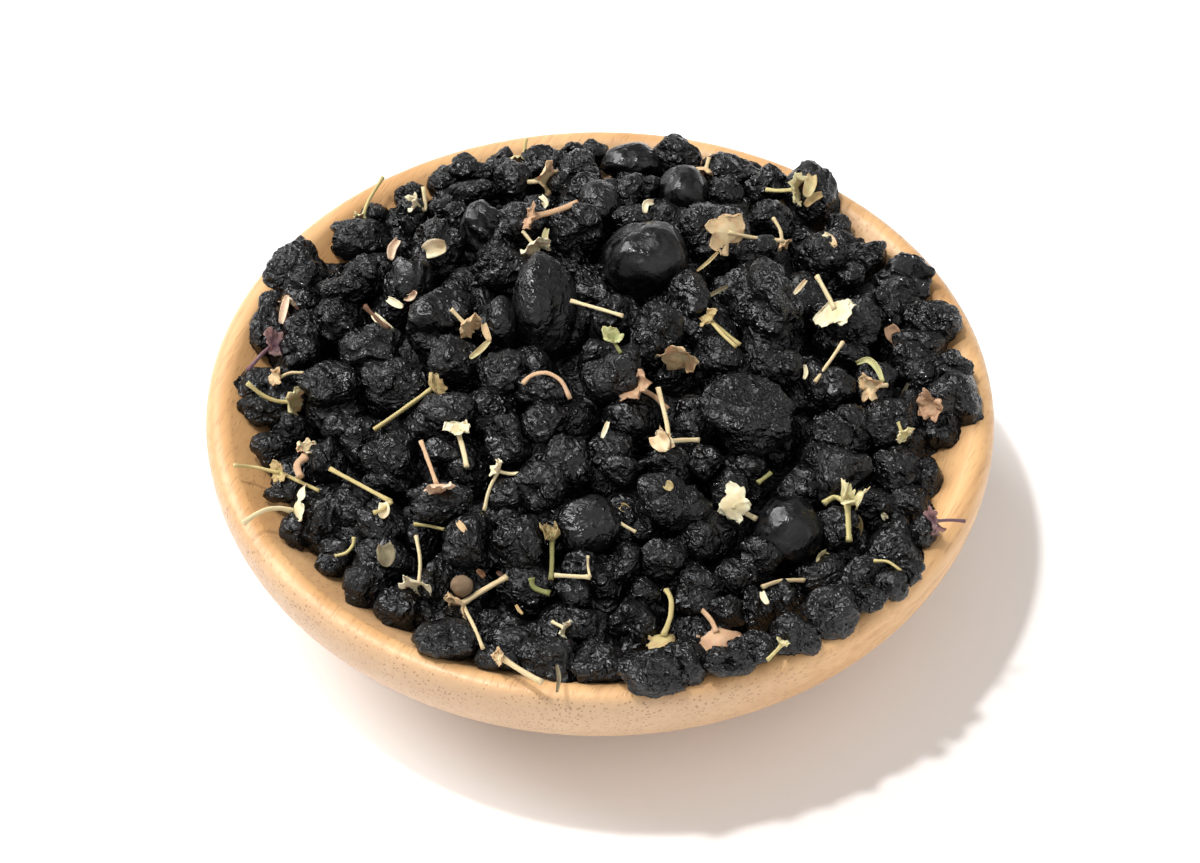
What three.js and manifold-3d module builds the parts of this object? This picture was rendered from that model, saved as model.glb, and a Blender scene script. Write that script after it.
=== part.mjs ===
import * as THREE from 'three';
import { mergeVertices } from 'three/addons/utils/BufferGeometryUtils.js';
import Module from 'manifold-3d';

// A turned wooden bowl heaped with dried black goji berries, with dried stems and calyxes among them.
// Millimetres, +Z up, origin at the centre of the bowl's foot. The photograph looks along +Y.

// Bowl
const BOWL_RADIUS = 55;
const WIDEST_HEIGHT = 25.6;
const LIP_ROUNDING = 2.3;
const SHOULDER_ROUNDING = 12.6;
const SHOULDER_TURN = THREE.MathUtils.degToRad(43);
const FOOT_RADIUS = 30;
const FOOT_EDGE_WIDTH = 1.2;
const FOOT_EDGE_RISE = 0.3;
const BELLY_REACH = 14;
const INSIDE_FLOOR_HEIGHT = 9;
const INSIDE_FLOOR_RADIUS = 10;
const INSIDE_WALL_BEND = 1.57;
const LIP_TURN = THREE.MathUtils.degToRad(125);
const BOWL_SIDES = 40;

// Heap: heights of the top layer's berry centres, from the bowl's widest plane
const HEAP_RADIUS = 47;
const HEAP_EDGE_RISE = 1;
const HEAP_CROWN_RISE = 12;
const HEAP_ROUNDNESS = 2.2;
const HEAP_TILT = 0.05;
const RISE_OVER_WOOD = 2.4;
const DEPTH_SCATTER = 1.6;

// Berry thickness along the line of sight, as a share of its mean width
const FLATNESS_LEAST = 0.85;
const FLATNESS_RANGE = 0.25;

// Berries: corners lie between these shares of a round ball's radius
const BERRY_SIDES = 5;
const BERRY_RINGS = 3;
const LUMP_LEAST = 1;
const LUMP_RANGE = 0.12;

// Second layer of berries
const UNDER_LAYER_DROP = 3.2;
const UNDER_LAYER_RADIUS = 42;
const UNDER_BERRY_SPACING = 9.4;
const UNDER_BERRY_RADIUS = 4;
const UNDER_BERRY_JITTER = 2;
const UNDER_DEPTH_SCATTER = 1.5;
const UNDER_SIZE_LEAST = 0.9;
const UNDER_SIZE_RANGE = 0.2;

// Plain core that every berry's root reaches
const CORE_DROP = 2.6;
const CORE_RADIUS = 42;
const CORE_SIDES = 20;
const CORE_DOME_STEPS = 5;
const CORE_SIDE_FOOT = 13;
const CORE_SINK = 2;
const ROOT_DROP = 6;
const ROOT_RADIUS = 39;

// Calyxes: notch and floor are shares of the depth, foot is a share of the stem's thickness
const CALYX_LOBES = 3;
const CALYX_WALL = 0.45;
const CALYX_NOTCH = 0.35;
const CALYX_FLOOR = 0.3;
const CALYX_FOOT = 0.6;
const CALYX_SQUASH = 0.6;

// Clear space between pieces that lie against each other
const GAP = 0.3;
const STEM_GAP = 0.45;

// Stems: places along a stem that may touch the heap, and the most that it slopes for its length
const STEM_SIDES = 5;
const STEM_SHARES = [0, 1, 2, 3, 4, 5, 6, 7, 8].map((step) => step / 8);
const STEEPEST_STEM = 0.5;
const SIGHT_STEP = 0.25;
const SIGHT_TURNS = 24;
const LIFT_STEP = 0.3;

// The view that berries and stems are read from, on a photograph 1200 pixels wide and 863 high
const VIEW_ELEVATION = THREE.MathUtils.degToRad(47);
const VIEW_DISTANCE = 1200;
const PIXELS_PER_MM = 7.163;
const VIEW_COLUMN = 600;
const VIEW_ROW = 416;

// Random draws: one seed for all, and the first number of each kind of draw
const SEED = 7.31;
const UNDER_NUMBER = 500;
const NUMBERS_PER_ROW = 40;
const NUMBERS_PER_BERRY = 61;

const RIGHT = new THREE.Vector3(1, 0, 0);
const UP = new THREE.Vector3(0, Math.sin(VIEW_ELEVATION), Math.cos(VIEW_ELEVATION));
const AWAY = new THREE.Vector3(0, Math.cos(VIEW_ELEVATION), -Math.sin(VIEW_ELEVATION));
const EYE = AWAY.clone().multiplyScalar(-VIEW_DISTANCE).add(new THREE.Vector3(0, 0, WIDEST_HEIGHT));

// Berries of the top layer: column and row of the middle, width and height, in the photograph's pixels
const BERRIES = [
  [474, 171, 46, 32], [475, 192, 50, 24], [512, 183, 36, 46], [545, 168, 50, 42], [578, 172, 44, 42],
  [572, 150, 22, 16], [632, 163, 60, 40], [675, 158, 50, 46], [732, 173, 58, 40], [766, 186, 44, 40],
  [812, 199, 54, 76], [838, 232, 24, 38], [866, 258, 40, 34], [902, 279, 58, 50], [683, 193, 52, 56],
  [620, 196, 42, 42], [644, 192, 30, 30], [600, 205, 44, 50], [632, 220, 38, 30], [645, 262, 84, 80],
  [712, 234, 68, 60], [750, 255, 50, 40], [722, 195, 42, 34], [585, 192, 50, 38], [575, 228, 55, 50],
  [522, 228, 56, 48], [483, 230, 46, 56], [437, 247, 50, 54], [412, 217, 30, 34], [440, 210, 26, 22],
  [362, 240, 60, 42], [297, 273, 63, 66], [373, 276, 38, 40], [411, 281, 44, 42], [345, 290, 52, 28],
  [338, 321, 46, 42], [303, 332, 38, 40], [268, 331, 36, 48], [264, 385, 54, 34], [264, 408, 50, 34],
  [372, 353, 56, 50], [440, 318, 64, 56], [500, 268, 52, 38], [544, 308, 62, 104],
  [502, 322, 32, 50], [455, 360, 52, 46], [502, 375, 46, 48], [545, 392, 52, 40], [545, 424, 46, 42],
  [448, 411, 56, 36], [330, 385, 60, 46], [395, 385, 64, 50], [612, 374, 56, 56], [657, 335, 50, 62],
  [610, 318, 36, 44], [690, 302, 40, 58], [765, 304, 70, 80], [718, 358, 50, 42], [778, 368, 50, 36],
  [746, 416, 88, 78], [630, 422, 44, 36], [846, 325, 68, 52], [838, 388, 32, 40], [929, 326, 62, 50],
  [913, 364, 56, 46], [953, 372, 38, 42], [820, 258, 50, 50], [876, 380, 40, 36],
  [290, 428, 30, 30], [273, 450, 42, 34], [328, 460, 36, 42], [342, 428, 38, 32], [390, 460, 54, 56],
  [443, 453, 44, 30], [322, 525, 50, 58], [354, 508, 42, 44], [294, 532, 26, 36], [383, 520, 52, 44],
  [440, 502, 62, 38], [508, 440, 44, 50], [566, 462, 50, 50], [540, 487, 50, 46], [507, 496, 34, 34],
  [472, 545, 56, 60], [516, 545, 52, 58], [588, 526, 62, 58], [610, 452, 44, 38], [620, 470, 36, 30],
  [690, 425, 34, 30], [662, 462, 54, 30], [704, 462, 34, 34], [672, 502, 66, 54], [749, 467, 30, 26],
  [729, 488, 36, 40], [789, 530, 64, 66], [885, 425, 54, 50], [851, 425, 34, 40], [828, 440, 46, 44],
  [832, 478, 68, 62], [896, 470, 48, 46], [928, 478, 28, 40], [908, 506, 46, 38], [868, 505, 44, 36],
  [835, 528, 44, 42], [893, 550, 56, 58], [941, 424, 38, 54], [384, 562, 60, 50], [398, 608, 46, 44],
  [437, 580, 36, 46], [432, 612, 44, 38], [446, 640, 62, 40], [508, 628, 30, 30], [510, 650, 60, 46],
  [550, 663, 58, 50], [574, 592, 34, 32], [586, 628, 44, 42], [632, 622, 48, 46], [624, 566, 38, 46],
  [664, 560, 46, 42], [645, 592, 30, 28], [698, 590, 46, 44], [652, 673, 68, 44], [684, 665, 44, 44],
  [728, 662, 50, 28], [738, 577, 38, 36], [722, 612, 40, 32], [756, 610, 36, 48], [752, 650, 44, 34],
  [790, 600, 30, 36], [794, 634, 46, 40], [830, 612, 54, 52], [864, 580, 46, 46], [892, 586, 32, 28],
  [845, 558, 40, 26], [700, 540, 40, 38], [760, 555, 40, 36], [336, 548, 34, 20],
  [290, 489, 46, 28], [878, 312, 44, 50], [498, 657, 44, 26], [924, 530, 28, 34], [868, 600, 34, 24],
  [456, 217, 24, 30], [850, 276, 30, 26], [580, 566, 34, 30], [910, 572, 26, 26], [560, 184, 26, 26],
  [270, 303, 22, 26], [447, 422, 36, 22], [598, 665, 56, 40],
  [772, 222, 42, 42], [300, 352, 40, 36], [914, 412, 26, 44],
];

// Dried stems and calyxes. Each path runs from the calyx to the cut end, in the photograph's pixels.
// A calyx is a lobed cup with a mouth radius and a depth in millimetres that faces right, up and near.
const STEMS = [
  { name: 'stem_back_left', colour: 'straw', thick: 0.8, paths: [[[363, 216], [369, 200], [383, 177]]],
    calyx: { mouth: 1.4, deep: 1.4, faces: [-0.3, -0.8, 0.3] } },
  { name: 'stem_back_pair', colour: 'cream', thick: 0.8, paths: [[[416, 203], [425, 210], [423, 187]]],
    calyx: { mouth: 1.2, deep: 1.4, faces: [-0.8, 0.1, 0.4] } },
  { name: 'stem_back_upright', colour: 'straw', thick: 0.8, paths: [[[523, 158], [526, 139]]],
    calyx: { mouth: 1.7, deep: 1.8, faces: [-0.4, -0.7, 0.3] } },
  { name: 'calyx_back_vase', colour: 'cream', thick: 1.0, paths: [[[543, 181], [528, 182]]],
    calyx: { mouth: 2, deep: 2.4, faces: [0.7, 0.2, 0.5] } },
  { name: 'stem_back_thick', colour: 'peach', thick: 1.3, paths: [[[533, 217], [556, 211], [578, 203]]],
    calyx: { mouth: 1.7, deep: 1.6, faces: [-0.9, 0.2, 0.3] } },
  { name: 'stem_back_short', colour: 'cream', thick: 0.8, paths: [[[533, 244], [523, 231]]],
    calyx: { mouth: 1.8, deep: 1.8, faces: [0.3, -0.7, 0.5] } },
  { name: 'stem_back_star', colour: 'cream', thick: 0.9, paths: [[[728, 232], [756, 238], [784, 241]]],
    calyx: { mouth: 2.5, deep: 1.2, faces: [-0.2, 0.1, -0.9] } },
  { name: 'stem_back_right', colour: 'cream', thick: 0.8, paths: [[[782, 243], [780, 230], [773, 218]]],
    calyx: { mouth: 1, deep: 1, faces: [0.6, -0.6, 0.3] } },
  { name: 'stem_back_sepals', colour: 'straw', thick: 0.9, paths: [[[793, 190], [780, 191], [766, 190]]],
    calyx: { mouth: 2.3, deep: 2.0, faces: [0.9, 0.1, 0.3] } },
  { name: 'stem_back_stub', colour: 'cream', thick: 0.9, paths: [[[706, 169], [709, 158]]],
    calyx: { mouth: 1.6, deep: 1.6, faces: [-0.3, -0.8, 0.4] } },
  { name: 'calyx_left_pink', colour: 'peach', thick: 0.9, paths: [[[287, 303], [288, 296]]],
    calyx: { mouth: 1.7, deep: 1.8, faces: [-0.1, -0.9, 0.4] } },
  { name: 'stem_left_purple', colour: 'mauve', thick: 0.9, paths: [[[273, 345], [262, 354], [248, 370]]],
    calyx: { mouth: 1.8, deep: 1.6, faces: [0.7, 0.4, 0.5] } },
  { name: 'stem_left_curl', colour: 'cream', thick: 0.7, paths: [[[279, 378], [290, 373], [304, 373]]],
    calyx: { mouth: 1.3, deep: 1.3, faces: [-0.8, 0.1, 0.5] } },
  { name: 'stem_left_curved', colour: 'straw', thick: 0.9,
    paths: [[[290, 402], [276, 401], [262, 395], [247, 383]]],
    calyx: { mouth: 2.0, deep: 2.0, faces: [0.8, -0.3, 0.4] } },
  { name: 'stem_left_brown', colour: 'brown', thick: 1.0, paths: [[[365, 306], [376, 318], [389, 329]]] },
  { name: 'stem_middle_left', colour: 'cream', thick: 0.9, paths: [[[465, 324], [451, 309]]],
    calyx: { mouth: 1.7, deep: 1.8, faces: [0.6, -0.4, 0.5] } },
  { name: 'stem_middle_loose', colour: 'cream', thick: 0.8, paths: [[[571, 301], [596, 308], [623, 316]]] },
  { name: 'sepal_middle_arc', colour: 'peach', thick: 0.9,
    paths: [[[523, 384], [531, 376], [546, 373], [561, 381], [570, 399]]] },
  { name: 'stem_middle_long', colour: 'straw', thick: 1.0,
    paths: [[[433, 388], [405, 408], [374, 430]]],
    calyx: { mouth: 1.7, deep: 1.6, faces: [0.7, 0.5, 0.4] } },
  { name: 'calyx_middle_green', colour: 'green', thick: 0.8, paths: [[[612, 339], [621, 353]]],
    calyx: { mouth: 1.4, deep: 1.2, faces: [0.1, 0.8, 0.5] } },
  { name: 'stem_middle_peach', colour: 'peach', thick: 1.1, paths: [[[640, 388], [654, 396], [668, 409]]],
    calyx: { mouth: 2.1, deep: 2.0, faces: [-0.7, 0.4, 0.5] } },
  { name: 'stem_middle_tall', colour: 'cream', thick: 1.0,
    paths: [[[669, 441], [666, 420], [658, 388]], [[671, 443], [685, 440], [699, 440]]],
    calyx: { mouth: 1.7, deep: 1.7, faces: [-0.9, -0.1, 0.4] } },
  { name: 'calyx_middle_fan', colour: 'cream', thick: 0.9, paths: [[[680, 354], [672, 347]]],
    calyx: { mouth: 2.4, deep: 1.9, faces: [-0.2, -0.8, 0.5] } },
  { name: 'stem_middle_fork', colour: 'straw', thick: 0.8,
    paths: [[[710, 320], [724, 332], [740, 345]], [[709, 322], [722, 334], [736, 347]]],
    calyx: { mouth: 1.3, deep: 1.3, faces: [-0.6, 0.5, 0.5] } },
  { name: 'stem_right_cream', colour: 'cream', thick: 1.0, paths: [[[835, 309], [826, 292], [817, 276]]],
    calyx: { mouth: 2.6, deep: 1.4, faces: [0.5, -0.6, -0.55] } },
  { name: 'stem_right_loose', colour: 'cream', thick: 0.8, paths: [[[843, 342], [830, 361], [815, 382]]] },
  { name: 'calyx_right_crumpled', colour: 'cream', thick: 1.0, paths: [[[873, 386], [887, 385]]],
    calyx: { mouth: 1.7, deep: 1.8, faces: [-0.8, -0.1, 0.6] } },
  { name: 'calyx_right_rim', colour: 'peach', thick: 1.1, paths: [[[932, 405], [946, 399]]],
    calyx: { mouth: 1.9, deep: 1.9, faces: [-0.6, -0.3, 0.6] } },
  { name: 'calyx_right_green', colour: 'straw', thick: 0.7, paths: [[[902, 433], [898, 422]]],
    calyx: { mouth: 1.2, deep: 1.3, faces: [0.6, -0.6, 0.4] } },
  { name: 'stem_rim_long', colour: 'cream', thick: 1.1,
    paths: [[[294, 511], [279, 508], [262, 511], [243, 523]]],
    calyx: { mouth: 2.6, deep: 2.0, faces: [0.95, -0.1, -0.2] } },
  { name: 'stem_rim_sepals', colour: 'straw', thick: 0.8,
    paths: [[[281, 473], [300, 482], [319, 491]], [[274, 468], [254, 467], [234, 465]]],
    calyx: { mouth: 1.4, deep: 1.4, faces: [-0.7, 0.1, 0.6] } },
  { name: 'calyx_left_pale', colour: 'cream', thick: 1.2, paths: [[[308, 451], [307, 458]]],
    calyx: { mouth: 1.5, deep: 1.6, faces: [0.1, 0.8, 0.5] } },
  { name: 'calyx_left_peach', colour: 'peach', thick: 1.6, paths: [[[306, 457], [298, 465], [301, 477]]] },
  { name: 'stem_front_left_straight', colour: 'straw', thick: 0.9,
    paths: [[[391, 502], [360, 485], [330, 469]], [[391, 502], [383, 509], [374, 513]]] },
  { name: 'stem_front_mushroom', colour: 'cream', thick: 1.1,
    paths: [[[458, 431], [463, 449], [467, 467]]],
    calyx: { mouth: 1.6, deep: 1.2, faces: [0, 0.85, 0.35] } },
  { name: 'stem_front_orange', colour: 'peach', thick: 0.9,
    paths: [[[437, 485], [430, 465], [421, 441]]],
    calyx: { mouth: 2.0, deep: 1.4, faces: [0.1, -0.9, 0.3] } },
  { name: 'stem_front_thin', colour: 'cream', thick: 0.8,
    paths: [[[498, 471], [489, 490], [484, 511]], [[498, 471], [508, 474], [519, 474]]],
    calyx: { mouth: 1.1, deep: 1.3, faces: [-0.7, 0.6, 0.3] } },
  { name: 'stem_front_hook', colour: 'straw', thick: 0.8,
    paths: [[[335, 556], [346, 553], [353, 545], [354, 537]]] },
  { name: 'stem_front_left_bent', colour: 'cream', thick: 0.8,
    paths: [[[419, 583], [420, 560], [416, 536]]],
    calyx: { mouth: 2.2, deep: 1.5, faces: [-0.4, -0.8, 0.4] } },
  { name: 'stem_front_left_loose', colour: 'straw', thick: 0.7,
    paths: [[[414, 524], [430, 526], [447, 530]]] },
  { name: 'stem_front_green', colour: 'green', thick: 1.0,
    paths: [[[552, 539], [552, 560], [551, 580]]],
    calyx: { mouth: 1.2, deep: 2.4, faces: [-0.1, 0.9, 0.3] } },
  { name: 'stem_front_bar', colour: 'cream', thick: 0.9,
    paths: [[[590, 577], [572, 576], [555, 575]], [[590, 577], [588, 566], [588, 556]]] },
  { name: 'sepal_front_green', colour: 'green', thick: 1.2,
    paths: [[[531, 578], [534, 588], [550, 594]]] },
  { name: 'stem_front_double', colour: 'cream', thick: 1.2,
    paths: [[[462, 604], [484, 590], [507, 577]], [[466, 606], [474, 627], [483, 649]]],
    calyx: { mouth: 2.1, deep: 1.8, faces: [-0.8, -0.5, 0.35] } },
  { name: 'stem_front_low', colour: 'cream', thick: 1.2,
    paths: [[[501, 657], [522, 671], [542, 682]]],
    calyx: { mouth: 1, deep: 1, faces: [-0.85, 0.15, 0.4] } },
  { name: 'calyx_front_small', colour: 'cream', thick: 0.8, paths: [[[564, 628], [552, 622]]],
    calyx: { mouth: 1.3, deep: 1.3, faces: [0.8, -0.5, 0.4] } },
  { name: 'stem_front_stub', colour: 'cream', thick: 0.7, paths: [[[619, 522], [627, 527], [636, 532]]] },
  { name: 'stem_front_right_disc', colour: 'cream', thick: 1.1,
    paths: [[[733, 505], [744, 512], [756, 519]]],
    calyx: { mouth: 2.2, deep: 1.2, faces: [0.2, 0.1, -0.9] } },
  { name: 'stem_right_green_stub', colour: 'green', thick: 0.9, paths: [[[758, 483], [771, 473]]] },
  { name: 'calyx_right_curved', colour: 'straw', thick: 1.2,
    paths: [[[847, 503], [848, 522], [849, 541]], [[846, 501], [835, 497], [824, 503]]],
    calyx: { mouth: 1.7, deep: 2.8, faces: [0.4, 0.9, 0.2] } },
  { name: 'stem_right_arc', colour: 'straw', thick: 0.7, paths: [[[874, 561], [888, 562], [901, 571]]] },
  { name: 'stem_right_rim', colour: 'mauve', thick: 0.7, paths: [[[935, 521], [950, 520], [965, 521]]],
    calyx: { mouth: 1.8, deep: 1.6, faces: [-0.8, -0.4, 0.5] } },
  { name: 'stem_front_right_arc', colour: 'cream', thick: 0.9,
    paths: [[[762, 587], [780, 581], [807, 580]]] },
  { name: 'stem_front_curved', colour: 'straw', thick: 1.1,
    paths: [[[663, 637], [670, 618], [671, 600], [666, 590]]],
    calyx: { mouth: 2.2, deep: 1.4, faces: [0, -0.8, -0.45] } },
  { name: 'stem_front_pink', colour: 'peach', thick: 1.1,
    paths: [[[717, 633], [711, 620], [700, 608]]],
    calyx: { mouth: 3.2, deep: 2.4, faces: [0.15, -0.75, -0.5] } },
  { name: 'stem_front_right_low', colour: 'straw', thick: 0.8, paths: [[[782, 644], [775, 652], [767, 660]]],
    calyx: { mouth: 0.9, deep: 1, faces: [0.4, 0.8, 0.3] } },
];

const COLOURS = {
  cream: new THREE.MeshStandardMaterial({ color: 0xd9cfa4, roughness: 0.7, metalness: 0 }),
  straw: new THREE.MeshStandardMaterial({ color: 0xb3ac78, roughness: 0.7, metalness: 0 }),
  green: new THREE.MeshStandardMaterial({ color: 0x7f8a4d, roughness: 0.7, metalness: 0 }),
  peach: new THREE.MeshStandardMaterial({ color: 0xcfa17f, roughness: 0.7, metalness: 0 }),
  brown: new THREE.MeshStandardMaterial({ color: 0x6d4a33, roughness: 0.75, metalness: 0 }),
  mauve: new THREE.MeshStandardMaterial({ color: 0x7a5a66, roughness: 0.7, metalness: 0 }),
};
const WOOD = new THREE.MeshStandardMaterial({ color: 0xe0bd8a, roughness: 0.55, metalness: 0 });
const BERRY_SKIN = new THREE.MeshStandardMaterial({ color: 0x1b1b20, roughness: 0.6, metalness: 0 });

const wasm = await Module();
wasm.setup();

function toSolid(geometry) {
  const bare = geometry.index ? geometry.clone() : geometry;
  bare.deleteAttribute('normal');
  bare.deleteAttribute('uv');
  const merged = mergeVertices(bare, 1e-4);
  return new wasm.Manifold(new wasm.Mesh({
    numProp: 3,
    vertProperties: new Float32Array(merged.attributes.position.array),
    triVerts: new Uint32Array(merged.index.array),
  }));
}

function toGeometry(solid) {
  const mesh = solid.getMesh();
  const geometry = new THREE.BufferGeometry();
  geometry.setAttribute('position', new THREE.BufferAttribute(new Float32Array(mesh.vertProperties), 3));
  geometry.setIndex(new THREE.BufferAttribute(new Uint32Array(mesh.triVerts), 1));
  geometry.computeVertexNormals();
  return geometry;
}

// A draw from 0 to 1 that is always the same for the same number
function chance(number) {
  const wave = Math.sin(number * 12.9898 + SEED) * 43758.5453;
  return wave - Math.floor(wave);
}

// Bowl

function insideHeight(radius) {
  const lipEnd = lipInnerEnd();
  const share = Math.max(0, (radius - INSIDE_FLOOR_RADIUS) / (lipEnd.x - INSIDE_FLOOR_RADIUS));
  return INSIDE_FLOOR_HEIGHT + (lipEnd.y - INSIDE_FLOOR_HEIGHT) * share ** INSIDE_WALL_BEND;
}

function lipInnerEnd() {
  return new THREE.Vector2(
    BOWL_RADIUS - LIP_ROUNDING + LIP_ROUNDING * Math.cos(LIP_TURN),
    WIDEST_HEIGHT + LIP_ROUNDING * Math.sin(LIP_TURN),
  );
}

// Half section from the foot's middle, up the outside, over the lip and down the inside.
// A grow above zero makes the same shape that much fatter all round.
function bowlSection(grow) {
  const slope = Math.SQRT1_2 * grow;
  const shoulder = new THREE.EllipseCurve(BOWL_RADIUS - SHOULDER_ROUNDING, WIDEST_HEIGHT,
    SHOULDER_ROUNDING + grow, SHOULDER_ROUNDING + grow, -SHOULDER_TURN, 0);
  const lip = new THREE.EllipseCurve(BOWL_RADIUS - LIP_ROUNDING, WIDEST_HEIGHT,
    LIP_ROUNDING + grow, LIP_ROUNDING + grow, 0, LIP_TURN);
  const shoulderStart = shoulder.getPoint(0);
  const bellyBend = new THREE.Vector2(
    shoulderStart.x - BELLY_REACH * Math.sin(SHOULDER_TURN),
    shoulderStart.y - BELLY_REACH * Math.cos(SHOULDER_TURN),
  );
  const footEdge = new THREE.Vector2(FOOT_RADIUS + FOOT_EDGE_WIDTH + slope, FOOT_EDGE_RISE - slope);
  const belly = new THREE.QuadraticBezierCurve(footEdge, bellyBend, shoulderStart);
  const points = [new THREE.Vector2(0, -grow), new THREE.Vector2(FOOT_RADIUS + slope, -grow)];
  points.push(...belly.getPoints(4).slice(0, -1));
  points.push(...shoulder.getPoints(4).slice(0, -1));
  points.push(...lip.getPoints(6));
  const insideSteps = 5;
  const lipEnd = lipInnerEnd();
  for (let step = 1; step <= insideSteps; step += 1) {
    const radius = THREE.MathUtils.lerp(lipEnd.x, INSIDE_FLOOR_RADIUS, step / insideSteps);
    points.push(new THREE.Vector2(radius - slope, insideHeight(radius) + slope));
  }
  points.push(new THREE.Vector2(0, INSIDE_FLOOR_HEIGHT + slope));
  return points;
}

function lathe(points, sides) {
  const geometry = new THREE.LatheGeometry(points, sides);
  geometry.rotateX(Math.PI / 2);
  return geometry;
}

// Height of the wood under the sky at a distance from the middle, past the lip included
function woodHeight(radius) {
  const fromLip = radius - (BOWL_RADIUS - LIP_ROUNDING);
  if (radius < lipInnerEnd().x) return insideHeight(radius);
  if (fromLip < LIP_ROUNDING) return WIDEST_HEIGHT + Math.sqrt(LIP_ROUNDING ** 2 - fromLip ** 2);
  return 0;
}

// Places along the lines of sight

function sightLine(column, row) {
  return AWAY.clone()
    .addScaledVector(RIGHT, (column - VIEW_COLUMN) / PIXELS_PER_MM / VIEW_DISTANCE)
    .addScaledVector(UP, (VIEW_ROW - row) / PIXELS_PER_MM / VIEW_DISTANCE);
}

function sightPoint(column, row, depth) {
  return EYE.clone().addScaledVector(sightLine(column, row), depth);
}

// Height of the top layer's berry centres: a low dome that turns up where the berries lie on the wall
function heapHeight(x, y) {
  const radius = Math.hypot(x, y);
  const fall = Math.min(1, radius / HEAP_RADIUS) ** HEAP_ROUNDNESS;
  const dome = WIDEST_HEIGHT + HEAP_EDGE_RISE + HEAP_TILT * y + HEAP_CROWN_RISE * (1 - fall);
  return Math.max(dome, woodHeight(Math.min(radius, BOWL_RADIUS - LIP_ROUNDING)) + RISE_OVER_WOOD);
}

function heapDepth(column, row) {
  const line = sightLine(column, row);
  let depth = VIEW_DISTANCE;
  for (let turn = 0; turn < SIGHT_TURNS; turn += 1) {
    const point = sightPoint(column, row, depth);
    depth = (heapHeight(point.x, point.y) - EYE.z) / line.z;
  }
  return depth;
}

// Berries

function topBerry([column, row, width, height], index) {
  const depth = heapDepth(column, row) + DEPTH_SCATTER * (chance(index) - 0.5);
  const halfWidth = width / PIXELS_PER_MM / 2;
  const halfHeight = height / PIXELS_PER_MM / 2;
  const flatness = FLATNESS_LEAST + FLATNESS_RANGE * chance(index + 0.5);
  const thickness = (halfWidth + halfHeight) / 2 * flatness;
  return {
    centre: sightPoint(column, row, depth),
    half: new THREE.Vector3(halfWidth, halfHeight, thickness),
  };
}

// Staggered rows of berries, a layer below the ones that show
function underLayer(topBerries) {
  const berries = [];
  const rowSpacing = UNDER_BERRY_SPACING * Math.sqrt(3) / 2;
  const rows = Math.ceil(UNDER_LAYER_RADIUS / rowSpacing);
  const columns = Math.ceil(UNDER_LAYER_RADIUS / UNDER_BERRY_SPACING);
  for (let row = -rows; row <= rows; row += 1) {
    for (let column = -columns; column <= columns; column += 1) {
      const number = UNDER_NUMBER + row * NUMBERS_PER_ROW + column;
      const stagger = row % 2 === 0 ? 0 : UNDER_BERRY_SPACING / 2;
      const x = column * UNDER_BERRY_SPACING + stagger + UNDER_BERRY_JITTER * (chance(number) - 0.5);
      const y = row * rowSpacing + UNDER_BERRY_JITTER * (chance(number + 0.3) - 0.5);
      const covered = topBerries.some((top) => Math.hypot(top.centre.x - x, top.centre.y - y) < top.half.x);
      if (Math.hypot(x, y) < UNDER_LAYER_RADIUS && !covered) {
        const z = heapHeight(x, y) - UNDER_LAYER_DROP - UNDER_DEPTH_SCATTER * chance(number + 0.6);
        const size = UNDER_BERRY_RADIUS * (UNDER_SIZE_LEAST + UNDER_SIZE_RANGE * chance(number + 0.8));
        berries.push({ centre: new THREE.Vector3(x, y, z), half: new THREE.Vector3(size, size, size) });
      }
    }
  }
  return berries;
}

// A ball with flat facets. Its lowest corner is a root that reaches down into the core.
function berrySolid(berry, index) {
  const geometry = new THREE.SphereGeometry(1, BERRY_SIDES, BERRY_RINGS);
  geometry.deleteAttribute('normal');
  geometry.deleteAttribute('uv');
  geometry.rotateX(Math.PI / 2);
  geometry.rotateZ(2 * Math.PI * chance(index + 0.2));
  const ball = mergeVertices(geometry, 1e-4);
  const position = ball.attributes.position;
  const inward = 1 - Math.min(1, ROOT_RADIUS / Math.hypot(berry.centre.x, berry.centre.y));
  for (let corner = 0; corner < position.count; corner += 1) {
    const unit = new THREE.Vector3().fromBufferAttribute(position, corner);
    const lump = LUMP_LEAST + LUMP_RANGE * chance(index * NUMBERS_PER_BERRY + corner);
    const place = new THREE.Vector3()
      .addScaledVector(RIGHT, unit.dot(RIGHT) * berry.half.x * lump)
      .addScaledVector(UP, unit.dot(UP) * berry.half.y * lump)
      .addScaledVector(AWAY, unit.dot(AWAY) * berry.half.z * lump);
    const isLowest = unit.z < -0.99;
    if (isLowest) place.set(-inward * berry.centre.x, -inward * berry.centre.y, -ROOT_DROP);
    place.add(berry.centre);
    position.setXYZ(corner, place.x, place.y, place.z);
  }
  return toSolid(ball);
}

function coreSolid() {
  const points = [new THREE.Vector2(0, INSIDE_FLOOR_HEIGHT - CORE_SINK)];
  points.push(new THREE.Vector2(CORE_RADIUS, CORE_SIDE_FOOT));
  for (let step = 0; step <= CORE_DOME_STEPS; step += 1) {
    const radius = CORE_RADIUS * (1 - step / CORE_DOME_STEPS);
    points.push(new THREE.Vector2(radius, heapHeight(radius, 0) - CORE_DROP));
  }
  const geometry = lathe(points, CORE_SIDES);
  const position = geometry.attributes.position;
  for (let corner = 0; corner < position.count; corner += 1) {
    const tilt = position.getZ(corner) > CORE_SIDE_FOOT ? HEAP_TILT * position.getY(corner) : 0;
    position.setZ(corner, position.getZ(corner) + tilt);
  }
  return toSolid(geometry);
}

// Stems and calyxes

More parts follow.
